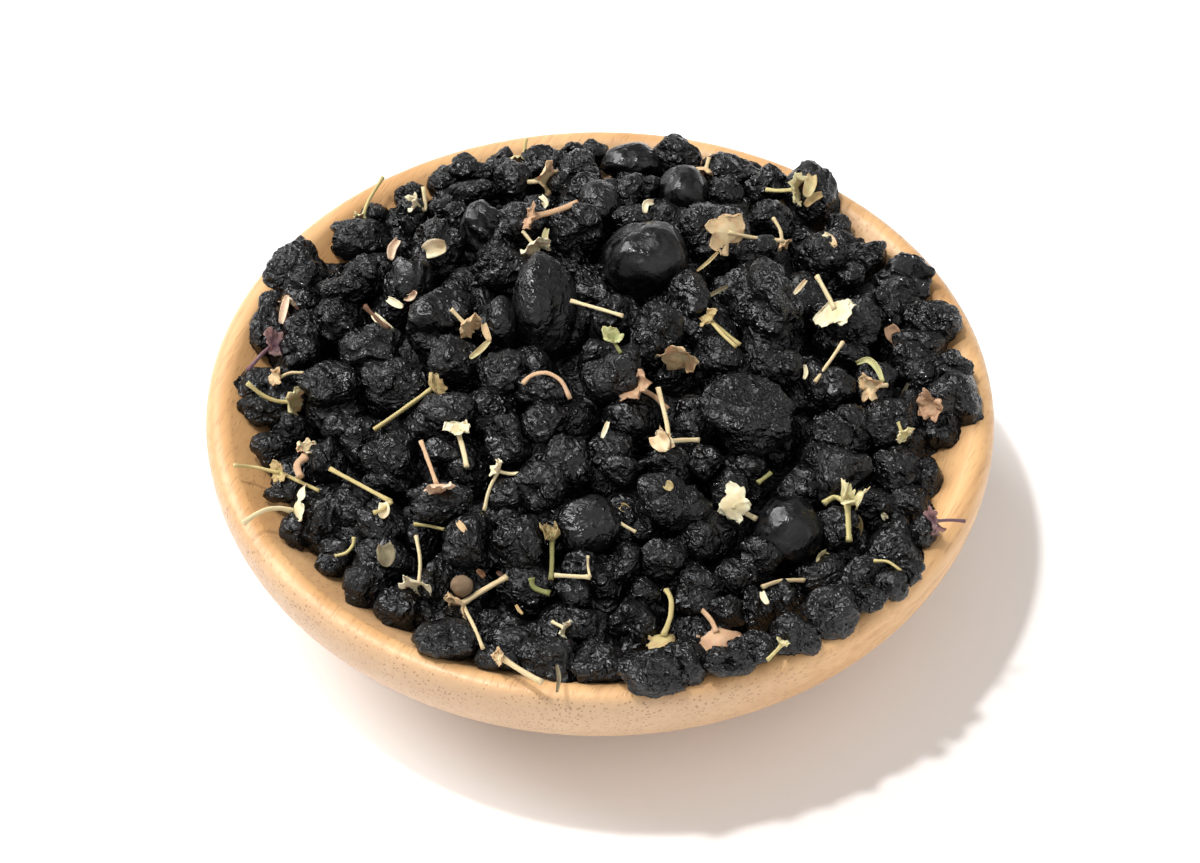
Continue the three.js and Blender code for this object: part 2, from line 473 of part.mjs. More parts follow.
function sightToBerry(berry, line) {
  const offset = EYE.clone().sub(berry.centre);
  const axes = [RIGHT, UP, AWAY];
  const sizes = berry.half.toArray();
  const start = new THREE.Vector3().fromArray(axes.map((axis, i) => offset.dot(axis) / sizes[i]));
  const move = new THREE.Vector3().fromArray(axes.map((axis, i) => line.dot(axis) / sizes[i]));
  const a = move.lengthSq();
  const b = move.dot(start);
  const c = start.lengthSq() - 1;
  const inside = b * b - a * c;
  return inside < 0 ? Infinity : (-b - Math.sqrt(inside)) / a;
}

// Depth along a line of sight at which the heap or the wood shows
function shownDepth(column, row, berries) {
  const line = sightLine(column, row);
  const heap = heapDepth(column, row);
  let depth = Math.min(heap, ...berries.map((berry) => sightToBerry(berry, line)));
  for (let near = heap - BOWL_RADIUS; near < depth; near += SIGHT_STEP) {
    const point = sightPoint(column, row, near);
    if (point.z < woodHeight(Math.hypot(point.x, point.y))) depth = near;
  }
  return depth;
}

function alongPath(path, share) {
  const place = share * (path.length - 1);
  const leg = Math.min(Math.floor(place), path.length - 2);
  return [0, 1].map((i) => THREE.MathUtils.lerp(path[leg][i], path[leg + 1][i], place - leg));
}

function pathLength(path) {
  return path.slice(1).reduce((sum, [column, row], i) => (
    sum + Math.hypot(column - path[i][0], row - path[i][1]) / PIXELS_PER_MM), 0);
}

// Depths of both ends of a straight stick that lies on these depths on both sides of its middle
function restingLine(depths, length) {
  const last = depths.length - 1;
  const middle = last / 2;
  let lowest = Infinity;
  let slope = 0;
  for (let first = 0; first <= middle; first += 1) {
    for (let second = Math.max(middle, first + 1); second <= last; second += 1) {
      const chord = (depths[second] - depths[first]) / (second - first);
      const atMiddle = depths[first] + chord * (middle - first);
      if (atMiddle < lowest) {
        lowest = atMiddle;
        slope = chord;
      }
    }
  }
  const steepest = STEEPEST_STEM * length / last;
  slope = THREE.MathUtils.clamp(slope, -steepest, steepest);
  const near = Math.min(...depths.map((depth, step) => depth - slope * step));
  return [near, near + slope * last];
}

// How far a calyx reaches behind the end of its stem, along the line of sight
function calyxRoom(calyx) {
  const near = calyx.faces[2];
  return calyx.deep * Math.max(0, -near) + CALYX_SQUASH * calyx.mouth * Math.sqrt(Math.max(0, 1 - near ** 2));
}

// Points in space of a stem on the heap that covers this path, moved near by lift
function stemPoints(path, thick, berries, lift, calyx) {
  const depths = STEM_SHARES.map((share) => shownDepth(...alongPath(path, share), berries));
  if (calyx) depths[0] -= calyxRoom(calyx);
  const [near, far] = restingLine(depths, pathLength(path));
  return path.map(([column, row], i) => sightPoint(column, row,
    THREE.MathUtils.lerp(near, far, i / (path.length - 1)) - thick / 2 - GAP - lift));
}

function stemSolid(points, thick) {
  const section = new THREE.Shape();
  for (let side = 0; side < STEM_SIDES; side += 1) {
    const angle = 2 * Math.PI * side / STEM_SIDES;
    const place = [thick / 2 * Math.cos(angle), thick / 2 * Math.sin(angle)];
    if (side === 0) section.moveTo(...place);
    else section.lineTo(...place);
  }
  section.closePath();
  const curve = new THREE.CatmullRomCurve3(points);
  const steps = points.length - 1;
  return toSolid(new THREE.ExtrudeGeometry(section, { steps, extrudePath: curve, bevelEnabled: false }));
}

// A lobed cup: a closed skin out to the mouth and back in, fatter by extra all round
function calyxSolid(base, calyx, thick, extra) {
  const around = 2 * CALYX_LOBES;
  const rings = [
    { radius: thick * CALYX_FOOT + extra, height: -extra },
    { radius: calyx.mouth + extra, height: calyx.deep - extra },
    { radius: calyx.mouth - CALYX_WALL - 2 * extra, height: calyx.deep + extra },
  ];
  if (extra > 0) rings.splice(2, 0, { radius: calyx.mouth + extra, height: calyx.deep + extra });
  const corners = [0, 0, -1.5 * extra];
  rings.forEach(({ radius, height }, ring) => {
    for (let i = 0; i < around; i += 1) {
      const angle = 2 * Math.PI * i / around;
      const notch = ring > 0 && i % 2 === 1 ? CALYX_NOTCH * calyx.deep : 0;
      corners.push(radius * Math.cos(angle), radius * Math.sin(angle), height - notch);
    }
  });
  corners.push(0, 0, calyx.deep * CALYX_FLOOR + 2 * extra);
  const last = corners.length / 3 - 1;
  const faces = [];
  for (let i = 0; i < around; i += 1) {
    const next = (i + 1) % around;
    faces.push(0, 1 + next, 1 + i);
    for (let ring = 0; ring < rings.length - 1; ring += 1) {
      const low = 1 + ring * around;
      const high = low + around;
      faces.push(low + i, low + next, high + next, low + i, high + next, high + i);
    }
    const top = 1 + (rings.length - 1) * around;
    faces.push(top + i, top + next, last);
  }
  const geometry = new THREE.BufferGeometry();
  geometry.setAttribute('position', new THREE.Float32BufferAttribute(corners, 3));
  geometry.setIndex(faces);
  const [right, up, near] = calyx.faces;
  const axis = new THREE.Vector3().addScaledVector(RIGHT, right).addScaledVector(UP, up)
    .addScaledVector(AWAY, -near).normalize();
  const turn = new THREE.Quaternion().setFromUnitVectors(new THREE.Vector3(0, 0, 1), axis);
  geometry.applyMatrix4(new THREE.Matrix4().compose(base, turn, new THREE.Vector3(1, 1, 1)));
  return toSolid(geometry);
}

// A whole stem with its calyx, fatter by extra all round and moved near by lift
function stemPiece(stem, berries, extra, lift) {
  const [first, second] = stem.paths;
  const run = stemPoints(first, stem.thick, berries, lift, stem.calyx);
  let solid = stemSolid(run, stem.thick + 2 * extra);
  if (second) {
    const branch = stemPoints(second, stem.thick, berries, lift);
    solid = solid.add(stemSolid([run[0], ...branch.slice(1)], stem.thick + 2 * extra));
  }
  if (stem.calyx) {
    solid = solid.add(calyxSolid(run[0], stem.calyx, stem.thick, extra));
  }
  return solid;
}

function heapSolid(berries, taken) {
  const heap = wasm.Manifold.union([coreSolid(), ...berries.map(berrySolid)]).subtract(taken);
  const bodies = heap.decompose().sort((a, b) => b.volume() - a.volume());
  return bodies[0];
}

function named(name, geometry, material) {
  const mesh = new THREE.Mesh(geometry, material);
  mesh.name = name;
  return mesh;
}

const topBerries = BERRIES.map(topBerry);
const berries = [...topBerries, ...underLayer(topBerries)];

const bowlOfBerries = new THREE.Group();
bowlOfBerries.add(named('bowl', lathe(bowlSection(0), BOWL_SIDES), WOOD));

// Each stem is moved near until it is clear of the wood and of the stems before it
let taken = toSolid(lathe(bowlSection(Math.SQRT2 * GAP), BOWL_SIDES));
STEMS.forEach((stem) => {
  let lift = 0;
  while (!stemPiece(stem, berries, 0, lift).intersect(taken).isEmpty()) lift += LIFT_STEP;
  const piece = toGeometry(stemPiece(stem, berries, 0, lift));
  bowlOfBerries.add(named(stem.name, piece, COLOURS[stem.colour]));
  taken = taken.add(stemPiece(stem, berries, STEM_GAP, lift));
});
bowlOfBerries.add(named('berry_heap', toGeometry(heapSolid(berries, taken)), BERRY_SKIN));

export default bowlOfBerries;
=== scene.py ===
# A turned wooden bowl heaped with dried black goji berries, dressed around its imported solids.
# Sizes are in millimetres until a mesh is made. +Z is up and the photograph looks along +Y.
import math

import bmesh
import bpy
from mathutils import Matrix, Vector, noise


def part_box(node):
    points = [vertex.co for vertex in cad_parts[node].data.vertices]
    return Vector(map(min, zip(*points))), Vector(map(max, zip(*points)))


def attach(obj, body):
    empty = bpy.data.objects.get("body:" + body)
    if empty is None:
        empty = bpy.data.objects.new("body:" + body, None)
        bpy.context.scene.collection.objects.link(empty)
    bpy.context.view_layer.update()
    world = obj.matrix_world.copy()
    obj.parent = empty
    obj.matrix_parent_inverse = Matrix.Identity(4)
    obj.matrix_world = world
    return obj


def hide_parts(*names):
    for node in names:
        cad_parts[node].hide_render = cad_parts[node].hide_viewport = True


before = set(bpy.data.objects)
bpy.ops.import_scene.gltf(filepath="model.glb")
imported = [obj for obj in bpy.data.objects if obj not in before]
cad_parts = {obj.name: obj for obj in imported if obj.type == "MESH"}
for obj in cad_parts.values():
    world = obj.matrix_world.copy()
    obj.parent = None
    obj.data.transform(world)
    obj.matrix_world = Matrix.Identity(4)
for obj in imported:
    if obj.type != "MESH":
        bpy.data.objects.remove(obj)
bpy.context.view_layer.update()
MM = 0.001

# Bowl, as in the solids
BOWL_RADIUS = 55
WIDEST_HEIGHT = 25.6
LIP_ROUNDING = 2.3
SHOULDER_ROUNDING = 12.6
SHOULDER_TURN = math.radians(43)
FOOT_RADIUS = 30
FOOT_EDGE_WIDTH = 1.2
FOOT_EDGE_RISE = 0.3
BELLY_REACH = 14
INSIDE_FLOOR_HEIGHT = 9
INSIDE_FLOOR_RADIUS = 10
INSIDE_WALL_BEND = 1.57
LIP_TURN = math.radians(125)
BOWL_SIDES = 240
GRAIN_TURN = math.radians(63)

# Heap, as in the solids: heights of the top layer's berry centres, from the bowl's widest plane
HEAP_RADIUS = 47
HEAP_EDGE_RISE = 1
HEAP_CROWN_RISE = 12
HEAP_ROUNDNESS = 2.2
HEAP_TILT = 0.05
RISE_OVER_WOOD = 2.4
DEPTH_SCATTER = 1.6
FLATNESS_LEAST = 0.85
FLATNESS_RANGE = 0.25
UNDER_LAYER_DROP = 3.2
UNDER_LAYER_RADIUS = 42
UNDER_BERRY_SPACING = 9.4
UNDER_BERRY_RADIUS = 4
UNDER_BERRY_JITTER = 2
UNDER_DEPTH_SCATTER = 1.5
HIDDEN_RINGS = (43, 46, 49)
HIDDEN_SHARES = (1, 0.8, 0.6)
HIDDEN_SPACING = 7
HIDDEN_RADIUS = 3.6
HIDDEN_RISE = 2.9
CORE_DROP = 2.6
CORE_RADIUS = 42

# Clear space between pieces that lie against each other
GAP = 0.3
STEM_SHARES = [step / 8 for step in range(9)]
CALYX_SQUASH = 0.6
SIGHT_STEP = 0.25
SIGHT_TURNS = 24

# The photograph's view, on an image 1200 pixels wide and 863 high
VIEW_ELEVATION = math.radians(47)
VIEW_DISTANCE = 1200
PIXELS_PER_MM = 7.163
VIEW_COLUMN = 600
VIEW_ROW = 416
IMAGE_WIDTH = 1200
IMAGE_HEIGHT = 863
SENSOR_WIDTH = 36

# Seed of every random draw
SEED = 7.31

RIGHT = Vector((1, 0, 0))
UP = Vector((0, math.sin(VIEW_ELEVATION), math.cos(VIEW_ELEVATION)))
AWAY = Vector((0, math.cos(VIEW_ELEVATION), -math.sin(VIEW_ELEVATION)))
EYE = Vector((0, 0, WIDEST_HEIGHT)) - AWAY * VIEW_DISTANCE

# Berry skin: depths are shares of the berry's radius
LUMP_DEPTH = 0.3
DENT_DEPTH = 0.75
DENT_EDGE = 0.6
DENT_COUNT = 4
FOLD_DEPTH = 0.13
RIDGE_DEPTH = 0.07
FOLD_SCALE = 1.35
RIDGE_SCALE = 2.9
CREASE_STRETCH = 0.55
CREASE_WARP = 0.5
BULK_SHARE = 0.02
WOOD_CLEARANCE = 0.05
TOP_PIECES = 5
FINE_BERRY_SIZE = 76

# Stems and calyxes
STEEPEST_STEM = 0.5
STEM_FINENESS = 0.62
CALYX_WALL = 0.14
LOBE_NOTCH = 0.5
LOBE_TEAR = 0.35
CALYX_CRUMPLE = 0.6
CALYX_RIPPLE = 0.2
CALYX_CURL = 0.45
CALYX_SPREAD = 1.1
CALYX_PLEAT = 0.09
STRIP_WALL = 0.16
BROAD_BIT = 1.5
BROAD_BIT_LIFT = 0.7

# Stage and light
FLOOR_SIZE = 4
FILL_LOW = 0.2
FILL_HIGH = 0.95
SIDE_FILL = 0.4
TOP_FILL = 0.4
FRONT_DIRECTION = (0.5, -0.8, 0.3)
FRONT_FILL = 0.85
SOFTBOX_DIRECTION = (-0.62, 0.36, 0.7)
SOFTBOX_EDGE = 0.9
SOFTBOX_MIDDLE = 0.95
SOFTBOX_FILL = 8.5
KEY_STRENGTH = 1.75
KEY_ANGLE = math.radians(4)
KEY_DIRECTION = (-0.28, 0, 0.96)

# Berries of the top layer: column and row of the middle, width and height, in the photograph's pixels
BERRIES = [
    (474, 171, 46, 32), (475, 192, 50, 24), (512, 183, 36, 46), (545, 168, 50, 42), (578, 172, 44, 42),
    (572, 150, 22, 16), (632, 163, 60, 40), (675, 158, 50, 46), (732, 173, 58, 40), (766, 186, 44, 40),
    (812, 199, 54, 76), (838, 232, 24, 38), (866, 258, 40, 34), (902, 279, 58, 50), (683, 193, 52, 56),
    (620, 196, 42, 42), (644, 192, 30, 30), (600, 205, 44, 50), (632, 220, 38, 30), (645, 262, 84, 80),
    (712, 234, 68, 60), (750, 255, 50, 40), (722, 195, 42, 34), (585, 192, 50, 38), (575, 228, 55, 50),
    (522, 228, 56, 48), (483, 230, 46, 56), (437, 247, 50, 54), (412, 217, 30, 34), (440, 210, 26, 22),
    (362, 240, 60, 42), (297, 273, 63, 66), (373, 276, 38, 40), (411, 281, 44, 42), (345, 290, 52, 28),
    (338, 321, 46, 42), (303, 332, 38, 40), (268, 331, 36, 48), (264, 385, 54, 34), (264, 408, 50, 34),
    (372, 353, 56, 50), (440, 318, 64, 56), (500, 268, 52, 38), (544, 308, 62, 104),
    (502, 322, 32, 50), (455, 360, 52, 46), (502, 375, 46, 48), (545, 392, 52, 40), (545, 424, 46, 42),
    (448, 411, 56, 36), (330, 385, 60, 46), (395, 385, 64, 50), (612, 374, 56, 56), (657, 335, 50, 62),
    (610, 318, 36, 44), (690, 302, 40, 58), (765, 304, 70, 80), (718, 358, 50, 42), (778, 368, 50, 36),
    (746, 416, 88, 78), (630, 422, 44, 36), (846, 325, 68, 52), (838, 388, 32, 40), (929, 326, 62, 50),
    (913, 364, 56, 46), (953, 372, 38, 42), (820, 258, 50, 50), (876, 380, 40, 36),
    (290, 428, 30, 30), (273, 450, 42, 34), (328, 460, 36, 42), (342, 428, 38, 32), (390, 460, 54, 56),
    (443, 453, 44, 30), (322, 525, 50, 58), (354, 508, 42, 44), (294, 532, 26, 36), (383, 520, 52, 44),
    (440, 502, 62, 38), (508, 440, 44, 50), (566, 462, 50, 50), (540, 487, 50, 46), (507, 496, 34, 34),
    (472, 545, 56, 60), (516, 545, 52, 58), (588, 526, 62, 58), (610, 452, 44, 38), (620, 470, 36, 30),
    (690, 425, 34, 30), (662, 462, 54, 30), (704, 462, 34, 34), (672, 502, 66, 54), (749, 467, 30, 26),
    (729, 488, 36, 40), (789, 530, 64, 66), (885, 425, 54, 50), (851, 425, 34, 40), (828, 440, 46, 44),
    (832, 478, 68, 62), (896, 470, 48, 46), (928, 478, 28, 40), (908, 506, 46, 38), (868, 505, 44, 36),
    (835, 528, 44, 42), (893, 550, 56, 58), (941, 424, 38, 54), (384, 562, 60, 50), (398, 608, 46, 44),
    (437, 580, 36, 46), (432, 612, 44, 38), (446, 640, 62, 40), (508, 628, 30, 30), (510, 650, 60, 46),
    (550, 663, 58, 50), (574, 592, 34, 32), (586, 628, 44, 42), (632, 622, 48, 46), (624, 566, 38, 46),
    (664, 560, 46, 42), (645, 592, 30, 28), (698, 590, 46, 44), (652, 673, 68, 44), (684, 665, 44, 44),
    (728, 662, 50, 28), (738, 577, 38, 36), (722, 612, 40, 32), (756, 610, 36, 48), (752, 650, 44, 34),
    (790, 600, 30, 36), (794, 634, 46, 40), (830, 612, 54, 52), (864, 580, 46, 46), (892, 586, 32, 28),
    (845, 558, 40, 26), (700, 540, 40, 38), (760, 555, 40, 36), (336, 548, 34, 20),
    (290, 489, 46, 28), (878, 312, 44, 50), (498, 657, 44, 26), (924, 530, 28, 34), (868, 600, 34, 24),
    (456, 217, 24, 30), (850, 276, 30, 26), (580, 566, 34, 30), (910, 572, 26, 26), (560, 184, 26, 26),
    (270, 303, 22, 26), (447, 422, 36, 22), (598, 665, 56, 40),
    (772, 222, 42, 42), (300, 352, 40, 36), (914, 412, 26, 44),
]

# Dried stems and calyxes, as in the solids. Each path runs from the calyx to the cut end, in pixels.
# A calyx is a lobed cup with a mouth radius and a depth in millimetres that faces right, up and near.
STEMS = [
    dict(name="stem_back_left", colour="straw", thick=0.8, paths=[[[363, 216], [369, 200], [383, 177]]],
         calyx=dict(mouth=1.4, deep=1.4, faces=[-0.3, -0.8, 0.3])),
    dict(name="stem_back_pair", colour="cream", thick=0.8, paths=[[[416, 203], [425, 210], [423, 187]]],
         calyx=dict(mouth=1.2, deep=1.4, faces=[-0.8, 0.1, 0.4])),
    dict(name="stem_back_upright", colour="straw", thick=0.8, paths=[[[523, 158], [526, 139]]],
         calyx=dict(mouth=1.7, deep=1.8, faces=[-0.4, -0.7, 0.3])),
    dict(name="calyx_back_vase", colour="cream", thick=1.0, paths=[[[543, 181], [528, 182]]],
         calyx=dict(mouth=2, deep=2.4, faces=[0.7, 0.2, 0.5])),
    dict(name="stem_back_thick", colour="peach", thick=1.3, paths=[[[533, 217], [556, 211], [578, 203]]],
         calyx=dict(mouth=1.7, deep=1.6, faces=[-0.9, 0.2, 0.3])),
    dict(name="stem_back_short", colour="cream", thick=0.8, paths=[[[533, 244], [523, 231]]],
         calyx=dict(mouth=1.8, deep=1.8, faces=[0.3, -0.7, 0.5])),
    dict(name="stem_back_star", colour="cream", thick=0.9, paths=[[[728, 232], [756, 238], [784, 241]]],
         calyx=dict(mouth=2.5, deep=1.2, faces=[-0.2, 0.1, -0.9])),
    dict(name="stem_back_right", colour="cream", thick=0.8, paths=[[[782, 243], [780, 230], [773, 218]]],
         calyx=dict(mouth=1, deep=1, faces=[0.6, -0.6, 0.3])),
    dict(name="stem_back_sepals", colour="straw", thick=0.9, paths=[[[793, 190], [780, 191], [766, 190]]],
         calyx=dict(mouth=2.3, deep=2.0, faces=[0.9, 0.1, 0.3])),
    dict(name="stem_back_stub", colour="cream", thick=0.9, paths=[[[706, 169], [709, 158]]],
         calyx=dict(mouth=1.6, deep=1.6, faces=[-0.3, -0.8, 0.4])),
    dict(name="calyx_left_pink", colour="peach", thick=0.9, paths=[[[287, 303], [288, 296]]],
         calyx=dict(mouth=1.7, deep=1.8, faces=[-0.1, -0.9, 0.4])),
    dict(name="stem_left_purple", colour="mauve", thick=0.9, paths=[[[273, 345], [262, 354], [248, 370]]],
         calyx=dict(mouth=1.8, deep=1.6, faces=[0.7, 0.4, 0.5])),
    dict(name="stem_left_curl", colour="cream", thick=0.7, paths=[[[279, 378], [290, 373], [304, 373]]],
         calyx=dict(mouth=1.3, deep=1.3, faces=[-0.8, 0.1, 0.5])),
    dict(name="stem_left_curved", colour="straw", thick=0.9,
         paths=[[[290, 402], [276, 401], [262, 395], [247, 383]]],
         calyx=dict(mouth=2.0, deep=2.0, faces=[0.8, -0.3, 0.4])),
    dict(name="stem_left_brown", colour="brown", thick=1.0, paths=[[[365, 306], [376, 318], [389, 329]]]),
    dict(name="stem_middle_left", colour="cream", thick=0.9, paths=[[[465, 324], [451, 309]]],
         calyx=dict(mouth=1.7, deep=1.8, faces=[0.6, -0.4, 0.5])),
    dict(name="stem_middle_loose", colour="cream", thick=0.8, paths=[[[571, 301], [596, 308], [623, 316]]]),
    dict(name="sepal_middle_arc", colour="peach", thick=0.9,
         paths=[[[523, 384], [531, 376], [546, 373], [561, 381], [570, 399]]]),
    dict(name="stem_middle_long", colour="straw", thick=1.0,
         paths=[[[433, 388], [405, 408], [374, 430]]],
         calyx=dict(mouth=1.7, deep=1.6, faces=[0.7, 0.5, 0.4])),
    dict(name="calyx_middle_green", colour="green", thick=0.8, paths=[[[612, 339], [621, 353]]],
         calyx=dict(mouth=1.4, deep=1.2, faces=[0.1, 0.8, 0.5])),
    dict(name="stem_middle_peach", colour="peach", thick=1.1, paths=[[[640, 388], [654, 396], [668, 409]]],
         calyx=dict(mouth=2.1, deep=2.0, faces=[-0.7, 0.4, 0.5])),
    dict(name="stem_middle_tall", colour="cream", thick=1.0,
         paths=[[[669, 441], [666, 420], [658, 388]], [[671, 443], [685, 440], [699, 440]]],
         calyx=dict(mouth=1.7, deep=1.7, faces=[-0.9, -0.1, 0.4])),
    dict(name="calyx_middle_fan", colour="cream", thick=0.9, paths=[[[680, 354], [672, 347]]],
         calyx=dict(mouth=2.4, deep=1.9, faces=[-0.2, -0.8, 0.5])),
    dict(name="stem_middle_fork", colour="straw", thick=0.8,
         paths=[[[710, 320], [724, 332], [740, 345]], [[709, 322], [722, 334], [736, 347]]],
         calyx=dict(mouth=1.3, deep=1.3, faces=[-0.6, 0.5, 0.5])),
    dict(name="stem_right_cream", colour="cream", thick=1.0, paths=[[[835, 309], [826, 292], [817, 276]]],
         calyx=dict(mouth=2.6, deep=1.4, faces=[0.5, -0.6, -0.55])),
    dict(name="stem_right_loose", colour="cream", thick=0.8, paths=[[[843, 342], [830, 361], [815, 382]]]),
    dict(name="calyx_right_crumpled", colour="cream", thick=1.0, paths=[[[873, 386], [887, 385]]],
         calyx=dict(mouth=1.7, deep=1.8, faces=[-0.8, -0.1, 0.6])),
    dict(name="calyx_right_rim", colour="peach", thick=1.1, paths=[[[932, 405], [946, 399]]],
         calyx=dict(mouth=1.9, deep=1.9, faces=[-0.6, -0.3, 0.6])),
    dict(name="calyx_right_green", colour="straw", thick=0.7, paths=[[[902, 433], [898, 422]]],
         calyx=dict(mouth=1.2, deep=1.3, faces=[0.6, -0.6, 0.4])),
    dict(name="stem_rim_long", colour="cream", thick=1.1,
         paths=[[[294, 511], [279, 508], [262, 511], [243, 523]]],
         calyx=dict(mouth=2.6, deep=2.0, faces=[0.95, -0.1, -0.2])),
    dict(name="stem_rim_sepals", colour="straw", thick=0.8,
         paths=[[[281, 473], [300, 482], [319, 491]], [[274, 468], [254, 467], [234, 465]]],
         calyx=dict(mouth=1.4, deep=1.4, faces=[-0.7, 0.1, 0.6])),
    dict(name="calyx_left_pale", colour="cream", thick=1.2, paths=[[[308, 451], [307, 458]]],
         calyx=dict(mouth=1.5, deep=1.6, faces=[0.1, 0.8, 0.5])),
    dict(name="calyx_left_peach", colour="peach", thick=1.6, paths=[[[306, 457], [298, 465], [301, 477]]]),
    dict(name="stem_front_left_straight", colour="straw", thick=0.9,
         paths=[[[391, 502], [360, 485], [330, 469]], [[391, 502], [383, 509], [374, 513]]]),
    dict(name="stem_front_mushroom", colour="cream", thick=1.1,
         paths=[[[458, 431], [463, 449], [467, 467]]],
         calyx=dict(mouth=1.6, deep=1.2, faces=[0, 0.85, 0.35])),
    dict(name="stem_front_orange", colour="peach", thick=0.9,
         paths=[[[437, 485], [430, 465], [421, 441]]],
         calyx=dict(mouth=2.0, deep=1.4, faces=[0.1, -0.9, 0.3])),
    dict(name="stem_front_thin", colour="cream", thick=0.8,
         paths=[[[498, 471], [489, 490], [484, 511]], [[498, 471], [508, 474], [519, 474]]],
         calyx=dict(mouth=1.1, deep=1.3, faces=[-0.7, 0.6, 0.3])),
    dict(name="stem_front_hook", colour="straw", thick=0.8,
         paths=[[[335, 556], [346, 553], [353, 545], [354, 537]]]),
    dict(name="stem_front_left_bent", colour="cream", thick=0.8,
         paths=[[[419, 583], [420, 560], [416, 536]]],
         calyx=dict(mouth=2.2, deep=1.5, faces=[-0.4, -0.8, 0.4])),
    dict(name="stem_front_left_loose", colour="straw", thick=0.7,
         paths=[[[414, 524], [430, 526], [447, 530]]]),
    dict(name="stem_front_green", colour="green", thick=1.0,
         paths=[[[552, 539], [552, 560], [551, 580]]],
         calyx=dict(mouth=1.2, deep=2.4, faces=[-0.1, 0.9, 0.3])),
    dict(name="stem_front_bar", colour="cream", thick=0.9, branch=0.6,
         paths=[[[590, 577], [572, 576], [555, 575]], [[590, 577], [588, 566], [588, 556]]]),
    dict(name="sepal_front_green", colour="green", thick=1.2,
         paths=[[[531, 578], [534, 588], [550, 594]]]),
    dict(name="stem_front_double", colour="cream", thick=1.2, branch=0.65,
         paths=[[[462, 604], [484, 590], [507, 577]], [[466, 606], [474, 627], [483, 649]]],
         calyx=dict(mouth=2.1, deep=1.8, faces=[-0.8, -0.5, 0.35])),
    dict(name="stem_front_low", colour="cream", thick=1.2,
         paths=[[[501, 657], [522, 671], [542, 682]]],
         calyx=dict(mouth=1, deep=1, faces=[-0.85, 0.15, 0.4])),
    dict(name="calyx_front_small", colour="cream", thick=0.8, paths=[[[564, 628], [552, 622]]],
         calyx=dict(mouth=1.3, deep=1.3, faces=[0.8, -0.5, 0.4])),
    dict(name="stem_front_stub", colour="cream", thick=0.7, paths=[[[619, 522], [627, 527], [636, 532]]]),
    dict(name="stem_front_right_disc", colour="cream", thick=1.1,
         paths=[[[733, 505], [744, 512], [756, 519]]],
         calyx=dict(mouth=2.2, deep=1.2, faces=[0.2, 0.1, -0.9])),
    dict(name="stem_right_green_stub", colour="green", thick=0.9, paths=[[[758, 483], [771, 473]]]),
    dict(name="calyx_right_curved", colour="straw", thick=1.2,
         paths=[[[847, 503], [848, 522], [849, 541]], [[846, 501], [835, 497], [824, 503]]],
         calyx=dict(mouth=1.7, deep=2.8, faces=[0.4, 0.9, 0.2])),
    dict(name="stem_right_arc", colour="straw", thick=0.7, paths=[[[874, 561], [888, 562], [901, 571]]]),
    dict(name="stem_right_rim", colour="mauve", thick=0.7, paths=[[[935, 521], [950, 520], [965, 521]]],
         calyx=dict(mouth=1.8, deep=1.6, faces=[-0.8, -0.4, 0.5])),
    dict(name="stem_front_right_arc", colour="cream", thick=0.9,
         paths=[[[762, 587], [780, 581], [807, 580]]]),
    dict(name="stem_front_curved", colour="straw", thick=1.1,
         paths=[[[663, 637], [670, 618], [671, 600], [666, 590]]],
         calyx=dict(mouth=2.2, deep=1.4, faces=[0, -0.8, -0.45])),
    dict(name="stem_front_pink", colour="peach", thick=1.1,
         paths=[[[717, 633], [711, 620], [700, 608]]],
         calyx=dict(mouth=3.2, deep=2.4, faces=[0.15, -0.75, -0.5])),
    dict(name="stem_front_right_low", colour="straw", thick=0.8, paths=[[[782, 644], [775, 652], [767, 660]]],
         calyx=dict(mouth=0.9, deep=1, faces=[0.4, 0.8, 0.3])),
]

